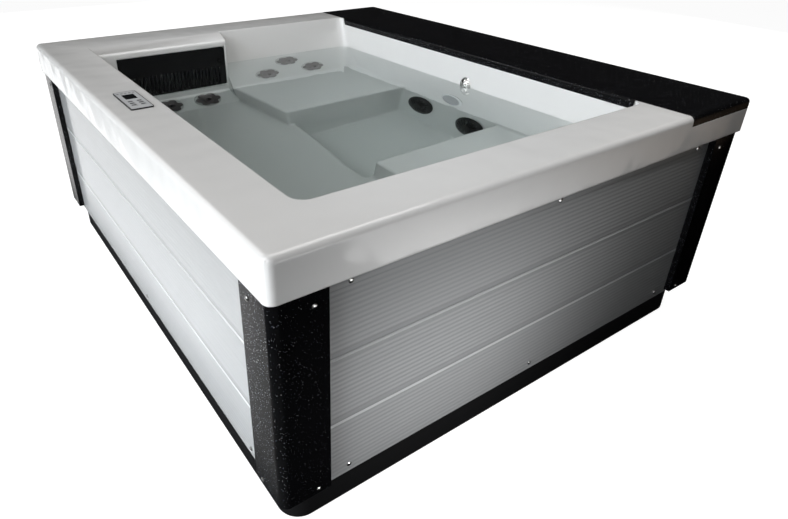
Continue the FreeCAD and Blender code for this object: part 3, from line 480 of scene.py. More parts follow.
@dataclass(frozen=True)
class Acrylic(Finish):
    """Glossy white moulding with softened edges, whose coat is very slightly uneven.

    Attributes:
        coat_roughness: roughness of the coat.
        edge: radius of the softened edges, in metres.
        edge_samples: samples for them.
        waves: swells of the coat per metre.
        layers: finer layers of the swells.
        swell: how much of the swells shows.
    """

    name: str = "acrylic"
    colour: Colour = (0.84, 0.835, 0.825)
    roughness: float = 0.35
    coat: float = 0.8
    coat_roughness: float = 0.03
    edge: float = 0.006
    edge_samples: int = 6
    waves: float = 9.0
    layers: float = 1.0
    swell: float = 0.5

    def paint(self, sheet: Sheet) -> None:
        """Soften the edges and make the coat uneven.

        Args:
            sheet: the material, new.
        """
        super().paint(sheet)
        bevel = sheet.add("ShaderNodeBevel", {"Radius": self.edge}, samples=self.edge_samples)
        edge = bevel.outputs["Normal"]
        waves = sheet.noise(sheet.place(), self.waves, self.layers)
        sheet.put(Coat_Roughness=self.coat_roughness, Normal=edge,
                  Coat_Normal=sheet.bump(waves, self.swell, edge))


@dataclass(frozen=True)
class SpeckledBlack(Finish):
    """Polished black with fine metal flakes in it.

    Attributes:
        dim: colour of the dimmest flakes.
        bright: colour of the brightest flakes.
        metal: how metallic a flake is.
    """

    name: str = "speckled"
    colour: Colour = (0.0035, 0.0035, 0.004)
    roughness: float = 0.12
    specular: float = 0.12
    dim: Colour = (0.30, 0.34, 0.46)
    bright: Colour = (0.90, 0.90, 0.90)
    metal: float = 0.72

    def paint(self, sheet: Sheet) -> None:
        """Scatter the flakes.

        Args:
            sheet: the material, new.
        """
        super().paint(sheet)
        specks = sheet.add("ShaderNodeGroup", {"Place": sheet.place()}, node_tree=speckle_group()).outputs
        tint = sheet.shades(specks["Tint"], self.dim, self.bright)
        sheet.put(Base_Color=sheet.blend(specks["Speck"], self.colour, tint),
                  Metallic=sheet.ramp(specks["Speck"], Slope(0.0, 1.0, 0.0, self.metal)))


@dataclass(frozen=True)
class RibbedPlank(Finish):
    """Grey satin composite with faint streaks, with painted shade under its ribs, a painted shadow along its
    lower edge and painted highlights on its upper edges.

    The colour is a streak's shade times painted light: slopes of the face's tilt (the upward part of its
    normal), which paint shade on faces that look down and highlights on faces that look up, and a slope of
    the height above the plank's foot, which paints a shadow just above each seam. The coat's normal is the
    face's own with the upward part taken out, so that the gloss runs evenly over the ribs.

    Attributes:
        pale: colour of the palest streaks; the colour itself is the darkest.
        stretch: streaks per metre in x, y and z.
        layers: finer layers of the streaks.
        brushed: anisotropy of the gloss.
        brush_turn: its direction, in turns.
        coat_roughness: roughness of the coat.
        painted_tilt_light: painted shade and highlight by the tilt, for lower edges, upper edges and ribs.
        foot: height of the lowest planks' foot, in metres.
        pitch: distance of the planks' feet.
        painted_seam_shadow: painted shadow by the height above a foot.
    """

    name: str = "plank"
    colour: Colour = (0.30, 0.308, 0.312)
    roughness: float = 0.45
    coat: float = 1.0
    specular: float = 0.35
    pale: Colour = (0.36, 0.368, 0.372)
    stretch: Point = (3.0, 3.0, 500.0)
    layers: float = 3.0
    brushed: float = 0.7
    brush_turn: float = 0.25
    coat_roughness: float = 0.10
    painted_tilt_light: Tuple[Slope, ...] = (Slope(-0.7, -0.3, 0.3, 1.0), Slope(0.3, 0.7, 1.0, 1.6),
                                Slope(-0.3, 0.3, 0.87, 1.11))
    foot: float = 0.084
    pitch: float = 0.196
    painted_seam_shadow: Slope = Slope(0.0, 0.024, 0.66, 1.0)

    def paint(self, sheet: Sheet) -> None:
        """Streak the colour, paint shade, highlights and the seam shadow on it, and level the coat.

        Args:
            sheet: the material, new.
        """
        super().paint(sheet)
        along = sheet.add("ShaderNodeTangent", direction_type="RADIAL", axis="Z").outputs[0]
        stretched = sheet.add("ShaderNodeMapping", {"Vector": sheet.place(), "Scale": self.stretch})
        streaks = sheet.shades(sheet.noise(stretched.outputs[0], 1.0, self.layers), self.colour, self.pale)
        # Painted light: faces that look down are darker, edges that look up are paler, and a painted shadow
        # lies just above each plank's foot.
        facing = sheet.add("ShaderNodeNewGeometry").outputs["Normal"]
        raised = sheet.calc(Calc.DIFFERENCE, sheet.part(sheet.place(), Axis.Z), self.foot)
        painted_seam_shadow = sheet.ramp(sheet.calc(Calc.REMAINDER, raised, self.pitch), self.painted_seam_shadow)
        shade = sheet.calc(Calc.PRODUCT, sheet.product(sheet.part(facing, Axis.Z), self.painted_tilt_light), painted_seam_shadow)
        flat = sheet.add("ShaderNodeVectorMath", {0: facing, 1: LEVEL_PART}, operation="MULTIPLY")
        level = sheet.add("ShaderNodeVectorMath", {0: flat.outputs[0]}, operation="NORMALIZE")
        sheet.put(Base_Color=sheet.blend(1.0, streaks, shade, Mixing.PRODUCT), Tangent=along,
                  Anisotropic=self.brushed, Anisotropic_Rotation=self.brush_turn,
                  Coat_Roughness=self.coat_roughness, Coat_Normal=level.outputs[0])


@dataclass(frozen=True)
class PanelFace(Finish):
    """Silver face with a dark rim and a row of plain dark marks beyond the display.

    Attributes:
        rim: colour of the rim.
        face: the silver field inside the rim.
        row: the marks.
    """

    name: str = "panel"
    colour: Colour = (0.55, 0.56, 0.57)
    roughness: float = 0.35
    rim: Colour = (0.012, 0.012, 0.013)
    face: Marks = Marks((-0.765, 0.022), (1.0, 1.0), (0.0315, 0.091))
    row: Marks = Marks((-0.765, 0.096), (0.012, 1.0), (0.0035, 0.003))

    def paint(self, sheet: Sheet) -> None:
        """Lay the rim round the face and the marks on it.

        Args:
            sheet: the material, new.
        """
        super().paint(sheet)
        rimmed = sheet.blend(self.face.mask(sheet), self.rim, self.colour)
        sheet.put(Base_Color=sheet.blend(self.row.mask(sheet), rimmed, INK))


@dataclass(frozen=True)
class KeyCaps(Finish):
    """Pale keys with a plain dark dash on each.

    Attributes:
        dash: the dashes.
    """

    name: str = "keys"
    colour: Colour = (0.50, 0.51, 0.52)
    roughness: float = 0.4
    dash: Marks = Marks((-0.7785, -0.016), (0.027, 0.019), (0.0065, 0.004))

    def paint(self, sheet: Sheet) -> None:
        """Lay the dashes on the keys.

        Args:
            sheet: the material, new.
        """
        super().paint(sheet)
        sheet.put(Base_Color=sheet.blend(self.dash.mask(sheet), self.colour, INK))


@dataclass(frozen=True)
class LightGlass(Finish):
    """Grey glass of the light with a pale rim: the rim is where the distance from its centre is large.

    Attributes:
        rim: colour of the painted highlight on the rim.
        inner: where the rim begins, as a share of the lens's radius.
        outer: where it is palest.
    """

    name: str = "lens"
    colour: Colour = (0.27, 0.30, 0.32)
    roughness: float = 0.15
    coat: float = 1.0
    rim: Colour = (0.88, 0.90, 0.91)
    inner: float = 0.74
    outer: float = 0.86

    def paint(self, sheet: Sheet) -> None:
        """Paint the highlight on the rim round the lens.

        Args:
            sheet: the material, new.
        """
        super().paint(sheet)
        low, high = (Vector(p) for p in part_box("light_lens"))
        centre = (low + high) / 2
        radius = (high.y - low.y) / 2
        away = sheet.add("ShaderNodeVectorMath", {0: sheet.place(), 1: centre}, operation="DISTANCE")
        # Painted highlight: paler towards the lens's edge.
        rim = sheet.ramp(away.outputs["Value"], Slope(self.inner * radius, self.outer * radius, 0.0, 1.0))
        sheet.put(Base_Color=sheet.blend(rim, self.colour, self.rim))


@dataclass(frozen=True)
class SlottedBlack(Finish):
    """Black moulding whose slats, below the plain top, are a little paler than the slots behind them: a
    painted sheen for the light that the slats catch.

    Attributes:
        painted_slat_sheen: colour of the slats, paler as a painted sheen.
        top: height in metres where the slats begin, from dark to full.
    """

    name: str = "grille"
    colour: Colour = (0.004, 0.004, 0.0045)
    roughness: float = 0.3
    specular: float = 0.2
    painted_slat_sheen: Colour = (0.0105, 0.011, 0.0115)
    top: Slope = Slope(0.672, 0.670, 0.0, 1.0)

    def paint(self, sheet: Sheet) -> None:
        """Paint a sheen on the slats by making them paler.

        Args:
            sheet: the material, new.
        """
        super().paint(sheet)
        # Painted sheen: the slats below the top are paler than the black moulding.
        slats = sheet.ramp(sheet.part(sheet.place(), Axis.Z), self.top)
        sheet.put(Base_Color=sheet.blend(slats, self.colour, self.painted_slat_sheen))


@dataclass(frozen=True)
class ClearWater(Finish):
    """Clear water that lets light through to the basin and takes a little red out of it.

    Attributes:
        bend: its refractive index.
        waves: ripples per metre.
        layers: finer layers of the ripples.
        swell: how much of the ripples shows.
        shade: share of the lamps' light that reaches the basin, by colour.
        depths: colour of light that has gone far through it.
        density: how fast light takes that colour.
    """

    name: str = "water"
    colour: Colour = (0.735, 0.765, 0.76)
    roughness: float = 0.0
    bend: float = 1.33
    waves: float = 5.0
    layers: float = 2.0
    swell: float = 0.12
    shade: Colour = (0.48, 0.505, 0.515)
    depths: Colour = (0.67, 0.73, 0.72)
    density: float = 0.95

    def paint(self, sheet: Sheet) -> None:
        """Make it clear, rippled and tinted with depth.

        Args:
            sheet: the material, new.
        """
        super().paint(sheet)
        waves = sheet.noise(sheet.place(), self.waves, self.layers)
        sheet.put(IOR=self.bend, Transmission_Weight=1.0, Normal=sheet.bump(waves, self.swell))
        path = sheet.add("ShaderNodeLightPath")
        clear = sheet.add("ShaderNodeBsdfTransparent", {"Color": self.shade}).outputs[0]
        surface = sheet.choose(path.outputs["Is Shadow Ray"], sheet.shader.outputs[0], clear)
        absorb = sheet.add("ShaderNodeVolumeAbsorption", {"Color": self.depths, "Density": self.density})
        sheet.feed(sheet.output.inputs["Surface"], surface)
        sheet.feed(sheet.output.inputs["Volume"], absorb.outputs[0])


@dataclass(frozen=True)
class PaleFloor(Finish):
    """Floor that is white to the camera and keeps the tub's shadow.

    Gloss shows it pale in a strip to the left of the tub, bright some way in front, warm towards the right,
    and dark elsewhere. Its own colour is the one that lights the tub from below.

    Attributes:
        matt: colour that takes the shadow, where the camera sees it.
        glow: strength of the white that is added there.
        left_across: paleness of the left strip by x.
        left_along: the same by y.
        front_across: brightness in front by x.
        front_along: the same by y.
        warming: share of the warm colour by x.
        warm: the warm colour.
    """

    name: str = "floor_pale"
    colour: Colour = (0.11, 0.10, 0.095)
    roughness: float = 0.9
    matt: Colour = (0.30, 0.30, 0.30)
    glow: float = 0.95
    left_across: Tuple[Slope, ...] = (Slope(-0.86, -0.95, 0.0, 0.95), Slope(-1.27, -1.36, 1.0, 0.12))
    left_along: Slope = Slope(-0.95, -0.1, 0.1, 1.0)
    front_across: Tuple[Slope, ...] = (Slope(-0.03, 0.05, 0.0, 1.0), Slope(0.1, 1.1, 2.4, 0.95),
                                       Slope(1.1, 2.7, 1.0, 0.25), Slope(2.9, 3.5, 1.0, 0.3))
    front_along: Slope = Slope(-1.80, -1.86, 0.0, 1.0)
    warming: Slope = Slope(1.2, 3.0, 0.0, 1.0)
    warm: Colour = (1.0, 0.72, 0.50)

    def paint(self, sheet: Sheet) -> None:
        """Part what the camera sees from what gloss sees.

        Args:
            sheet: the material, new.
        """
        super().paint(sheet)
        place = sheet.place()
        across = sheet.part(place, Axis.X)
        along = sheet.part(place, Axis.Y)
        left = sheet.calc(Calc.PRODUCT, sheet.product(across, self.left_across),
                          sheet.ramp(along, self.left_along))
        front = sheet.calc(Calc.PRODUCT, sheet.product(across, self.front_across),
                           sheet.ramp(along, self.front_along))
        tint = sheet.blend(sheet.ramp(across, self.warming), WHITE, self.warm)
        strength = sheet.calc(Calc.LARGER, left, front)
        mirrored = sheet.add("ShaderNodeEmission", {"Color": tint, "Strength": strength})
        path = sheet.add("ShaderNodeLightPath")
        unseen = sheet.choose(path.outputs["Is Glossy Ray"], sheet.shader.outputs[0], mirrored.outputs[0])
        matt = sheet.add("ShaderNodeBsdfDiffuse", {"Color": self.matt})
        glow = sheet.add("ShaderNodeEmission", {"Strength": self.glow})
        seen = sheet.add("ShaderNodeAddShader", {0: matt.outputs[0], 1: glow.outputs[0]})
        surface = sheet.choose(sheet.camera_rays(path), unseen, seen.outputs[0])
        sheet.feed(sheet.output.inputs["Surface"], surface)


def smooth_node(name: str, finish: Finish) -> None:
    """Give a CAD node its material and smooth its curved faces.

    Args:
        name: node of the frame.
        finish: its finish.
    """
    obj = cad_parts[name]
    obj.data.materials.clear()
    obj.data.materials.append(material_of(finish))
    obj.data.polygons.foreach_set("use_smooth", np.ones(len(obj.data.polygons), dtype=bool))
    weld = obj.modifiers.new("weld", "WELD")
    weld.merge_threshold = WELD_GAP
    split = obj.modifiers.new("split", "EDGE_SPLIT")
    split.split_angle = math.radians(SHARP_ANGLE)


@dataclass
class SubAssembly:
    """Pieces of the tub that belong together."""

    def finishes(self) -> Dict[str, Finish]:
        """Finish of each node, by the node's name."""
        raise NotImplementedError

    def dress(self) -> List[str]:
        """Give each node its finish.

        Returns:
            Names of the pieces.
        """
        finishes = self.finishes()
        for name, finish in finishes.items():
            smooth_node(name, finish)
        return list(finishes)


@dataclass
class Shell(SubAssembly):
    """The moulding and its lid."""

    moulding: Finish = Acrylic()
    lid: Finish = SpeckledBlack()

    def finishes(self) -> Dict[str, Finish]:
        """Finish of each node, by the node's name."""
        return {"tub_shell": self.moulding, "equipment_lid": self.lid}


@dataclass
class Cladding(SubAssembly):
    """Planks, posts, screws, base and the frame behind them."""

    plank: Finish = RibbedPlank()
    post: Finish = SpeckledBlack()
    steel: Finish = Finish("bright_steel", (0.62, 0.62, 0.61), 0.25, metallic=1.0)
    base: Finish = Finish("base_black", (0.008, 0.008, 0.0085), 0.5, specular=0.15)
    timber: Finish = Timber("frame_timber", (0.42, 0.29, 0.17), 0.6)

    def finishes(self) -> Dict[str, Finish]:
        """Finish of each node: planks by side and number, posts by corner, and the rest.

        Returns:
            Finishes by the nodes' names.
        """
        planks = {f"plank_{side.value}_{number}": self.plank for side in Side for number in (1, 2, 3)}
        posts = {f"corner_post_{corner.value}": self.post for corner in Corner}
        frames = {f"frame_{name}": self.timber for name in ("uprights", "rails", "battens")}
        return {**planks, **posts, "cladding_screws": self.steel, "base_pan": self.base, **frames}


@dataclass
class Fittings(SubAssembly):
    """Jets, suction covers, light and overflow on the basin's walls."""

    ring: Finish = Finish("jet_ring", (0.62, 0.62, 0.61), 0.2, coat=0.6)
    body: Finish = Finish("fitting_grey", (0.05, 0.052, 0.055), 0.4)
    face: Finish = Finish("jet_grey", (0.075, 0.062, 0.063), 0.35, coat=0.1)
    cover: Finish = Finish("cover_black", (0.012, 0.012, 0.012), 0.4)
    lens: Finish = LightGlass()
    chrome: Finish = Finish("overflow_chrome", (0.75, 0.75, 0.74), 0.12, metallic=1.0)

    def finishes(self) -> Dict[str, Finish]:
        """Finish of each node: jets and covers by number, and the rest.

        Returns:
            Finishes by the nodes' names.
        """
        rings = {f"jet_body_{number}": self.ring for number in range(1, 6)}
        faces = {f"jet_face_{number}": self.face for number in range(1, 6)}
        bodies = {name: self.body for name in ("jet_nuts", "suction_bodies", "light_housing")}
        covers = {f"suction_cover_{number}": self.cover for number in (1, 2)}
        single = {"light_lens": self.lens, "overflow_fitting": self.chrome}
        return {**rings, **faces, **bodies, **covers, **single}


@dataclass
class Filter(SubAssembly):
    """Grille, knob, box and cartridges, the cartridges near black as painted shade."""

    grille: Finish = SlottedBlack()
    knob: Finish = Finish("grille_black", (0.004, 0.004, 0.0045), 0.25, specular=0.25)
    box: Finish = Finish("box_black", (0.004, 0.004, 0.004), 0.6, specular=0.1)
    # The cartridges are coloured near black as painted shade, so that the slots behind the grille look dark.
    painted_shade_cloth: Finish = Finish("filter_cloth", (0.02, 0.021, 0.022), 0.9, specular=0.1)

    def finishes(self) -> Dict[str, Finish]:
        """Finish of each node, by the node's name."""
        cartridges = {f"filter_cartridge_{number}": self.painted_shade_cloth for number in (1, 2)}
        return {"filter_grille": self.grille, "grille_knob": self.knob, "filter_box": self.box, **cartridges}


@dataclass
class Controls(SubAssembly):
    """Control panel, display and keys on the left rim."""

    panel: Finish = PanelFace()
    window: Finish = Finish("display_window", (0.008, 0.009, 0.010), 0.12)
    key: Finish = KeyCaps()

    def finishes(self) -> Dict[str, Finish]:
        """Finish of each node, by the node's name."""
        keys = {f"control_button_{number}": self.key for number in range(1, 7)}
        return {"control_panel": self.panel, "control_display": self.window, **keys}


@dataclass
class Equipment(SubAssembly):
    """Pump, heater, control pack and pipes in the bay."""

    motor: Finish = Finish("motor_grey", (0.10, 0.105, 0.11), 0.45)
    plastic: Finish = Finish("pump_black", (0.02, 0.02, 0.022), 0.45)
    steel: Finish = Finish("heater_steel", (0.55, 0.55, 0.54), 0.3, metallic=1.0)
    pipe: Finish = Finish("pipe_white", (0.78, 0.78, 0.76), 0.4)

    def finishes(self) -> Dict[str, Finish]:
        """Finish of each node: motor, moulded pieces, heater and pipes.

        Returns:
            Finishes by the nodes' names.
        """
        plastics = {name: self.plastic for name in ("pump_volute", "pump_impeller", "control_pack")}
        pipes = {name: self.pipe for name in ("jet_manifold", "suction_manifold")}
        return {"pump_motor": self.motor, **plastics, "heater": self.steel, **pipes}


@dataclass(frozen=True)
class Basin:
    """Inside faces of the basin, as the solids have them, in metres.

    Attributes:
        rim: height of the rim.
        left: left wall at the rim.
        near: near wall at the rim.
        far: far wall at the rim.
        right: right wall, upright.
        housing_front: front of the filter housing.
        housing_right: right-hand side of the filter housing.
        bench: height of the benches.
        lounge: height of the lounge.
        footwell: height of the footwell.
        near_bench: front edge of the near bench.
        back_bench: front edge of the back bench.
        bench_end: left-hand end of the benches.
        left_lean: lean of the left wall from upright, in degrees.
        near_lean: lean of the near wall.
        far_lean: lean of the far wall.
    """

    rim: float = 0.800
    left: float = -0.700
    near: float = -0.840
    far: float = 0.820
    right: float = 0.523
    housing_front: float = 0.738
    housing_right: float = -0.140
    bench: float = 0.365
    lounge: float = 0.240
    footwell: float = 0.110
    near_bench: float = -0.272
    back_bench: float = 0.295
    bench_end: float = -0.064
    left_lean: float = 6.0
    near_lean: float = 10.0
    far_lean: float = 15.4


def wall_run(lean: float) -> float:
    """Run of a leaning wall per metre of its height: tan(lean), with the lean in degrees."""
    return math.tan(math.radians(lean))


def closed_slab(name: str, top: np.ndarray, bottom: np.ndarray) -> bpy.types.Object:
    """Closed mesh between two grids of points that share their outline in plan.

    Each cell of the upper grid is a face, each cell of the lower grid one turned over, and a band of faces
    joins the two outlines.

    Args:
        name: name of the object.
        top: points of the upper grid, shape (rows, columns, 3).
        bottom: points of the lower grid, the same shape.

    Returns:
        The object, linked to the scene, faces outward.
    """
    rows, columns = top.shape[:2]
    count = rows * columns
    index = np.arange(count).reshape(rows, columns)
    corners = [index[:-1, :-1], index[1:, :-1], index[1:, 1:], index[:-1, 1:]]
    cells = np.stack(corners, axis=-1).reshape(-1, 4)
    under = cells[:, ::-1] + count
    ring = np.concatenate([index[0, :-1], index[:-1, -1], index[-1, :0:-1], index[:0:-1, 0]])
    after = np.roll(ring, -1)
    band = np.stack([ring, after, after + count, ring + count], axis=-1)
    faces = np.concatenate([cells, under, band[:, ::-1]])
    points = np.concatenate([top.reshape(-1, 3), bottom.reshape(-1, 3)])
    mesh = bpy.data.meshes.new(name)
    mesh.from_pydata(points.tolist(), [], faces.tolist())
    mesh.polygons.foreach_set("use_smooth", np.ones(len(faces), dtype=bool))
    obj = bpy.data.objects.new(name, mesh)
    bpy.context.scene.collection.objects.link(obj)
    return obj


@dataclass
class Water(SubAssembly):
    """Water in the basin: a closed body whose sides reach just into the shell's wall.

    Attributes:
        basin: the basin that holds it.
        finish: its finish.
        level: height of its surface, in metres as all sizes here.
        step: usual distance of the grid lines.
        overlap: how far it reaches into the wall.
        margin: how far the deeper steps reach under the shallower ones.
        riser: half the distance of two grid lines beside a step.
        bend: y beyond which the grid gives way to the filter housing.
        lounge_edge: x between two grid lines near the edge of the lounge.
        shallowest: least depth of the water.
        ripple: height of the ripples.
        crests: radians per metre of the two waves of the ripples, in x and y.
    """

    basin: Basin = Basin()
    finish: Finish = ClearWater()
    level: float = 0.667
    step: float = 0.02
    overlap: float = 0.004
    margin: float = 0.05
    riser: float = 0.002
    bend: float = 0.68
    lounge_edge: float = -0.099
    shallowest: float = 0.006
    ripple: float = 0.0004
    crests: Tuple[Pair, Pair] = ((9.0, 4.0), (-3.0, 7.0))

    def lines(self, places: Sequence[float]) -> np.ndarray:
        """Grid lines through given places with about even steps between them.

        Args:
            places: rising coordinates that must be on a line.

        Returns:
            All line coordinates.
        """
        runs = [np.linspace(a, b, max(2, int(round((b - a) / self.step)) + 1))[:-1]
                for a, b in zip(places[:-1], places[1:])]
        return np.concatenate(runs + [np.array([places[-1]])])

    def beside(self, place: float) -> Pair:
        """Two grid lines, one on each side of a step."""
        return place - self.riser, place + self.riser

    def corner(self) -> float:
        """X of the water's side along the filter housing."""
        return self.basin.housing_right - self.overlap

    def foot(self, lean: float, seat: float) -> float:
        """Run of a leaning wall from the rim down to a seat: (rim - seat) tan(lean)."""
        return (self.basin.rim - seat + self.overlap) * wall_run(lean) - self.overlap

    def floor(self, x: np.ndarray, y: np.ndarray) -> np.ndarray:
        """Height of the water's underside at each point, a little below the basin.

        It is the highest of the leaning walls and the step that the point lies over, z = rim -
        (x - left) / tan(lean) for the left wall and so on, or the shallowest depth where that is higher.

        Args:
            x: plan coordinates.
            y: plan coordinates.

        Returns:
            Heights in metres.
        """
        basin = self.basin
        left = basin.rim - (x - basin.left + self.overlap) / wall_run(basin.left_lean)
        near = basin.rim - (y - basin.near + self.overlap) / wall_run(basin.near_lean)
        far = basin.rim - (basin.far + self.overlap - y) / wall_run(basin.far_lean)
        far = np.where(x > self.corner(), far, 0.0)
        lounge = x < basin.bench_end + self.margin
        well = (y > basin.near_bench - self.margin) & (y < basin.back_bench + self.margin)
        well &= x > basin.bench_end - 2 * self.margin
        seat = np.where(lounge, basin.lounge, basin.bench)
        step = np.where(well, basin.footwell, seat) - self.overlap
        highest = np.maximum.reduce([left, near, far, step])
        return np.minimum(highest, self.level - self.shallowest)

    def build(self) -> bpy.types.Object:
        """Make the body on a grid in x and y, with lines along the foot of each wall.

        Its surface is z = level + ripple sin(9x + 4y) sin(7y - 3x), its underside the floor. In front of the
        filter housing the grid beyond the bend is squeezed in y, so that it ends at the housing.

        Returns:
            The body's object.
        """
        basin = self.basin
        drop = basin.rim - self.level
        left = basin.left + drop * wall_run(basin.left_lean) - self.overlap
        near = basin.near + drop * wall_run(basin.near_lean) - self.overlap
        far = basin.far - drop * wall_run(basin.far_lean) + self.overlap
        xs = self.lines([left, basin.left + self.foot(basin.left_lean, basin.lounge),
                         *self.beside(self.corner()), *self.beside(self.lounge_edge),
                         basin.right + self.overlap])
        ys = self.lines([near, basin.near + self.foot(basin.near_lean, basin.bench),
                         basin.near + self.foot(basin.near_lean, basin.lounge),
                         *self.beside(basin.near_bench), *self.beside(basin.back_bench),
                         self.bend, basin.far - self.foot(basin.far_lean, basin.bench), far])
        x, y = np.meshgrid(xs, ys, indexing="ij")
        front = basin.housing_front + self.overlap
        squeezed = self.bend + (y - self.bend) * (front - self.bend) / (far - self.bend)
        y = np.where((x < self.corner()) & (y > self.bend), squeezed, y)
        ripple = self.ripple * np.prod([np.sin(a * x + b * y) for a, b in self.crests], axis=0)
        top = np.stack([x, y, self.level + ripple], axis=-1)
        bottom = np.stack([x, y, self.floor(x, y)], axis=-1)
        return closed_slab("water_body", top, bottom)

    def dress(self) -> List[str]:
        """Build the body, give it its finish and let it ride on the tub.

        Returns:
            Names of the pieces.
        """
        body = self.build()
        body.data.materials.append(material_of(self.finish))
        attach(body, "tub")
        return [body.name]


@dataclass(frozen=True)
class Lamp:
    """One soft light.

    Attributes:
        name: its name.
        place: where it stands, in metres.
        aim: the point that it faces.
        width: its width in metres.
        height: its height in metres.
        power: watts.
        spread: opening of its beam in degrees.
        colour: colour of its light.
        mirrored: whether glossy faces show it.
    """

    name: str
    place: Point
    aim: Point
    width: float
    height: float
    power: float
    spread: float = 180.0
    colour: Colour = WHITE
    mirrored: bool = True

    def build(self) -> None:
        """Make the lamp, unseen by the camera, and turn it to its aim."""
        light = bpy.data.lights.new(self.name, "AREA")
        light.shape = "RECTANGLE"
        light.size = self.width
        light.size_y = self.height
        light.energy = self.power
        light.spread = math.radians(self.spread)
        light.color = self.colour
        obj = bpy.data.objects.new(self.name, light)
        obj.location = self.place
        obj.rotation_euler = (Vector(self.aim) - Vector(self.place)).to_track_quat("-Z", "Y").to_euler()
        obj.visible_camera = False
        obj.visible_glossy = self.mirrored
        bpy.context.scene.collection.objects.link(obj)


LAMPS = (
    Lamp("left_window", (-4.0, -0.4, 1.2), (0.0, -0.3, 0.5), 4.0, 1.8, 76.0, colour=(0.92, 0.965, 1.0)),
    Lamp("left_low", (-1.9, -0.1, 0.2), (-0.83, -0.1, 0.33), 3.4, 0.3, 14.0, spread=80.0,
         colour=(0.94, 0.975, 1.0), mirrored=False),
    Lamp("left_high", (-3.2, -1.2, 3.2), (0.3, -0.2, 0.4), 2.0, 2.0, 50.0),
    Lamp("back_left_high", (-2.0, 2.6, 3.2), (0.2, -0.2, 0.4), 2.0, 2.0, 21.0),
    Lamp("overhead", (0.6, -0.4, 3.6), (0.6, -0.4, 0.0), 2.0, 2.0, 41.0, colour=(1.0, 0.99, 0.975)),
    Lamp("front_low", (-0.4, -1.9, 0.38), (-0.35, -0.97, 0.30), 0.6, 0.5, 1.5, spread=70.0),
    Lamp("wall_beam", (-1.3, -0.1, 1.45), (0.52, -0.1, 0.70), 2.0, 0.3, 2.2, spread=50.0,
         colour=(0.88, 0.94, 1.0), mirrored=False),
    Lamp("rim_beam", (0.9, -1.6, 1.9), (0.5, -0.97, 0.8), 1.2, 0.2, 0.25, spread=24.0,
         colour=(1.0, 0.98, 0.95), mirrored=False),
    Lamp("right_fill", (6.5, -0.3, 1.2), (0.8, 0.0, 0.4), 5.0, 2.0, 110.0, mirrored=False),
    Lamp("back_fill", (0.3, 6.8, 1.2), (0.1, 1.0, 0.4), 5.0, 2.0, 110.0, mirrored=False),
)


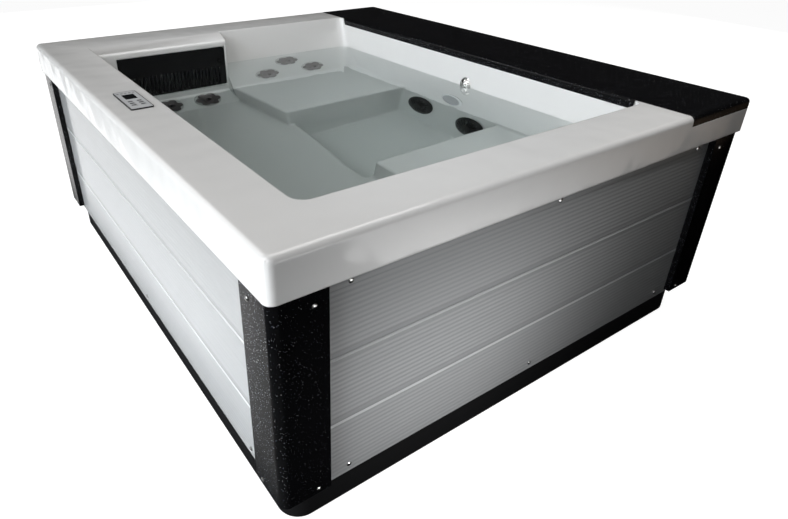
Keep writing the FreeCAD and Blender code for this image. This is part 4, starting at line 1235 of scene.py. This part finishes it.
@dataclass
class Studio:
    """Floor, room, lamps and camera.

    Attributes:
        place: where the camera stands, in metres.
        azimuth: its heading from +Y towards +X, in degrees.
        elevation: how far it looks down, in degrees.
        roll: tilt of its right-hand side upwards, in degrees.
        lens: its focal length in millimetres.
        shift: its lens shift.
        ground: finish of the floor.
        pale_side: direction of the room's pale side.
        dim: colour of the room away from that side.
        dim_end: share of the pale side up to which the room is dim.
        pale_start: share of it from which the room is white.
        backdrop: colour of the room to the camera.
        room: strength of the room's light on the tub.
    """

    place: Point = (-1.24826, -1.81628, 1.36303)
    azimuth: float = 34.91
    elevation: float = 28.97
    roll: float = 0.564
    lens: float = 27.876
    shift: Pair = (0.0558, -0.0419)
    ground: Finish = PaleFloor()
    pale_side: Point = (-0.77, -0.52, 0.37)
    dim: Colour = (0.012, 0.012, 0.012)
    dim_end: float = 0.02
    pale_start: float = 0.9
    backdrop: Colour = (0.97, 0.97, 0.97)
    room: float = 0.015

    def floor(self) -> None:
        """Lay the wide floor: a square with corners at (x, y) = (-reach, -reach) to (reach, reach)."""
        size = FLOOR_REACH
        mesh = bpy.data.meshes.new("floor")
        corners = [(-size, -size, 0), (size, -size, 0), (size, size, 0), (-size, size, 0)]
        mesh.from_pydata(corners, [], [(0, 1, 2, 3)])
        mesh.materials.append(material_of(self.ground))
        obj = bpy.data.objects.new("floor", mesh)
        bpy.context.scene.collection.objects.link(obj)

    def world(self) -> None:
        """Make the room: white to the camera, pale to the left and dim behind on the right to gloss.

        Light that has met a matt face gets the same room, but hardly any of it.
        """
        world = bpy.data.worlds.new("room")
        bpy.context.scene.world = world
        world.use_nodes = True
        nodes = Nodes(world.node_tree)
        place = nodes.add("ShaderNodeTexCoord").outputs["Generated"]
        inputs = {0: place, 1: self.pale_side}
        towards = nodes.add("ShaderNodeVectorMath", inputs, operation="DOT_PRODUCT").outputs["Value"]
        shade = nodes.shades(towards, self.dim, WHITE, self.dim_end, self.pale_start)
        faint = nodes.tree.nodes["Background"]
        nodes.feed(faint.inputs["Color"], shade)
        nodes.feed(faint.inputs["Strength"], self.room)
        mirrored = nodes.add("ShaderNodeBackground", {"Color": shade})
        white = nodes.add("ShaderNodeBackground", {"Color": self.backdrop})
        path = nodes.add("ShaderNodeLightPath")
        gloss = nodes.calc(Calc.PRODUCT, nodes.direct_rays(path), path.outputs["Is Glossy Ray"])
        unseen = nodes.choose(gloss, faint.outputs[0], mirrored.outputs[0])
        surface = nodes.choose(nodes.camera_rays(path), unseen, white.outputs[0])
        nodes.feed(nodes.tree.nodes["World Output"].inputs["Surface"], surface)

    def camera(self) -> None:
        """Set the camera at the photograph's place, level apart from its small roll.

        Its right-hand and upward directions are turned about the line of sight by the roll.
        """
        heading, dip, tilt = (math.radians(a) for a in (self.azimuth, self.elevation, self.roll))
        level = Vector((math.sin(heading), math.cos(heading), 0.0))
        ahead = level * math.cos(dip) - Vector((0.0, 0.0, math.sin(dip)))
        right = Vector((math.cos(heading), -math.sin(heading), 0.0))
        up = right.cross(ahead)
        tilted = right * math.cos(tilt) + up * math.sin(tilt)
        upper = up * math.cos(tilt) - right * math.sin(tilt)
        data = bpy.data.cameras.new("camera")
        data.sensor_width = SENSOR_WIDTH
        data.lens = self.lens
        data.shift_x, data.shift_y = self.shift
        obj = bpy.data.objects.new("camera", data)
        turn = Matrix((tilted, upper, -ahead)).transposed().to_4x4()
        obj.matrix_world = Matrix.Translation(self.place) @ turn
        bpy.context.scene.collection.objects.link(obj)
        bpy.context.scene.camera = obj

    def build(self) -> None:
        """Set up the whole studio."""
        bpy.context.scene.view_settings.view_transform = "Standard"
        self.floor()
        self.world()
        for lamp in LAMPS:
            lamp.build()
        self.camera()


def main() -> None:
    """Dress the tub, log each piece's name and set the studio."""
    logging.basicConfig(level=logging.INFO)
    for kind in (Shell, Cladding, Fittings, Filter, Controls, Equipment, Water):
        for name in kind().dress():
            log.info("%s: %s", kind.__name__, name)
    Studio().build()


if __name__ == "__main__":
    main()
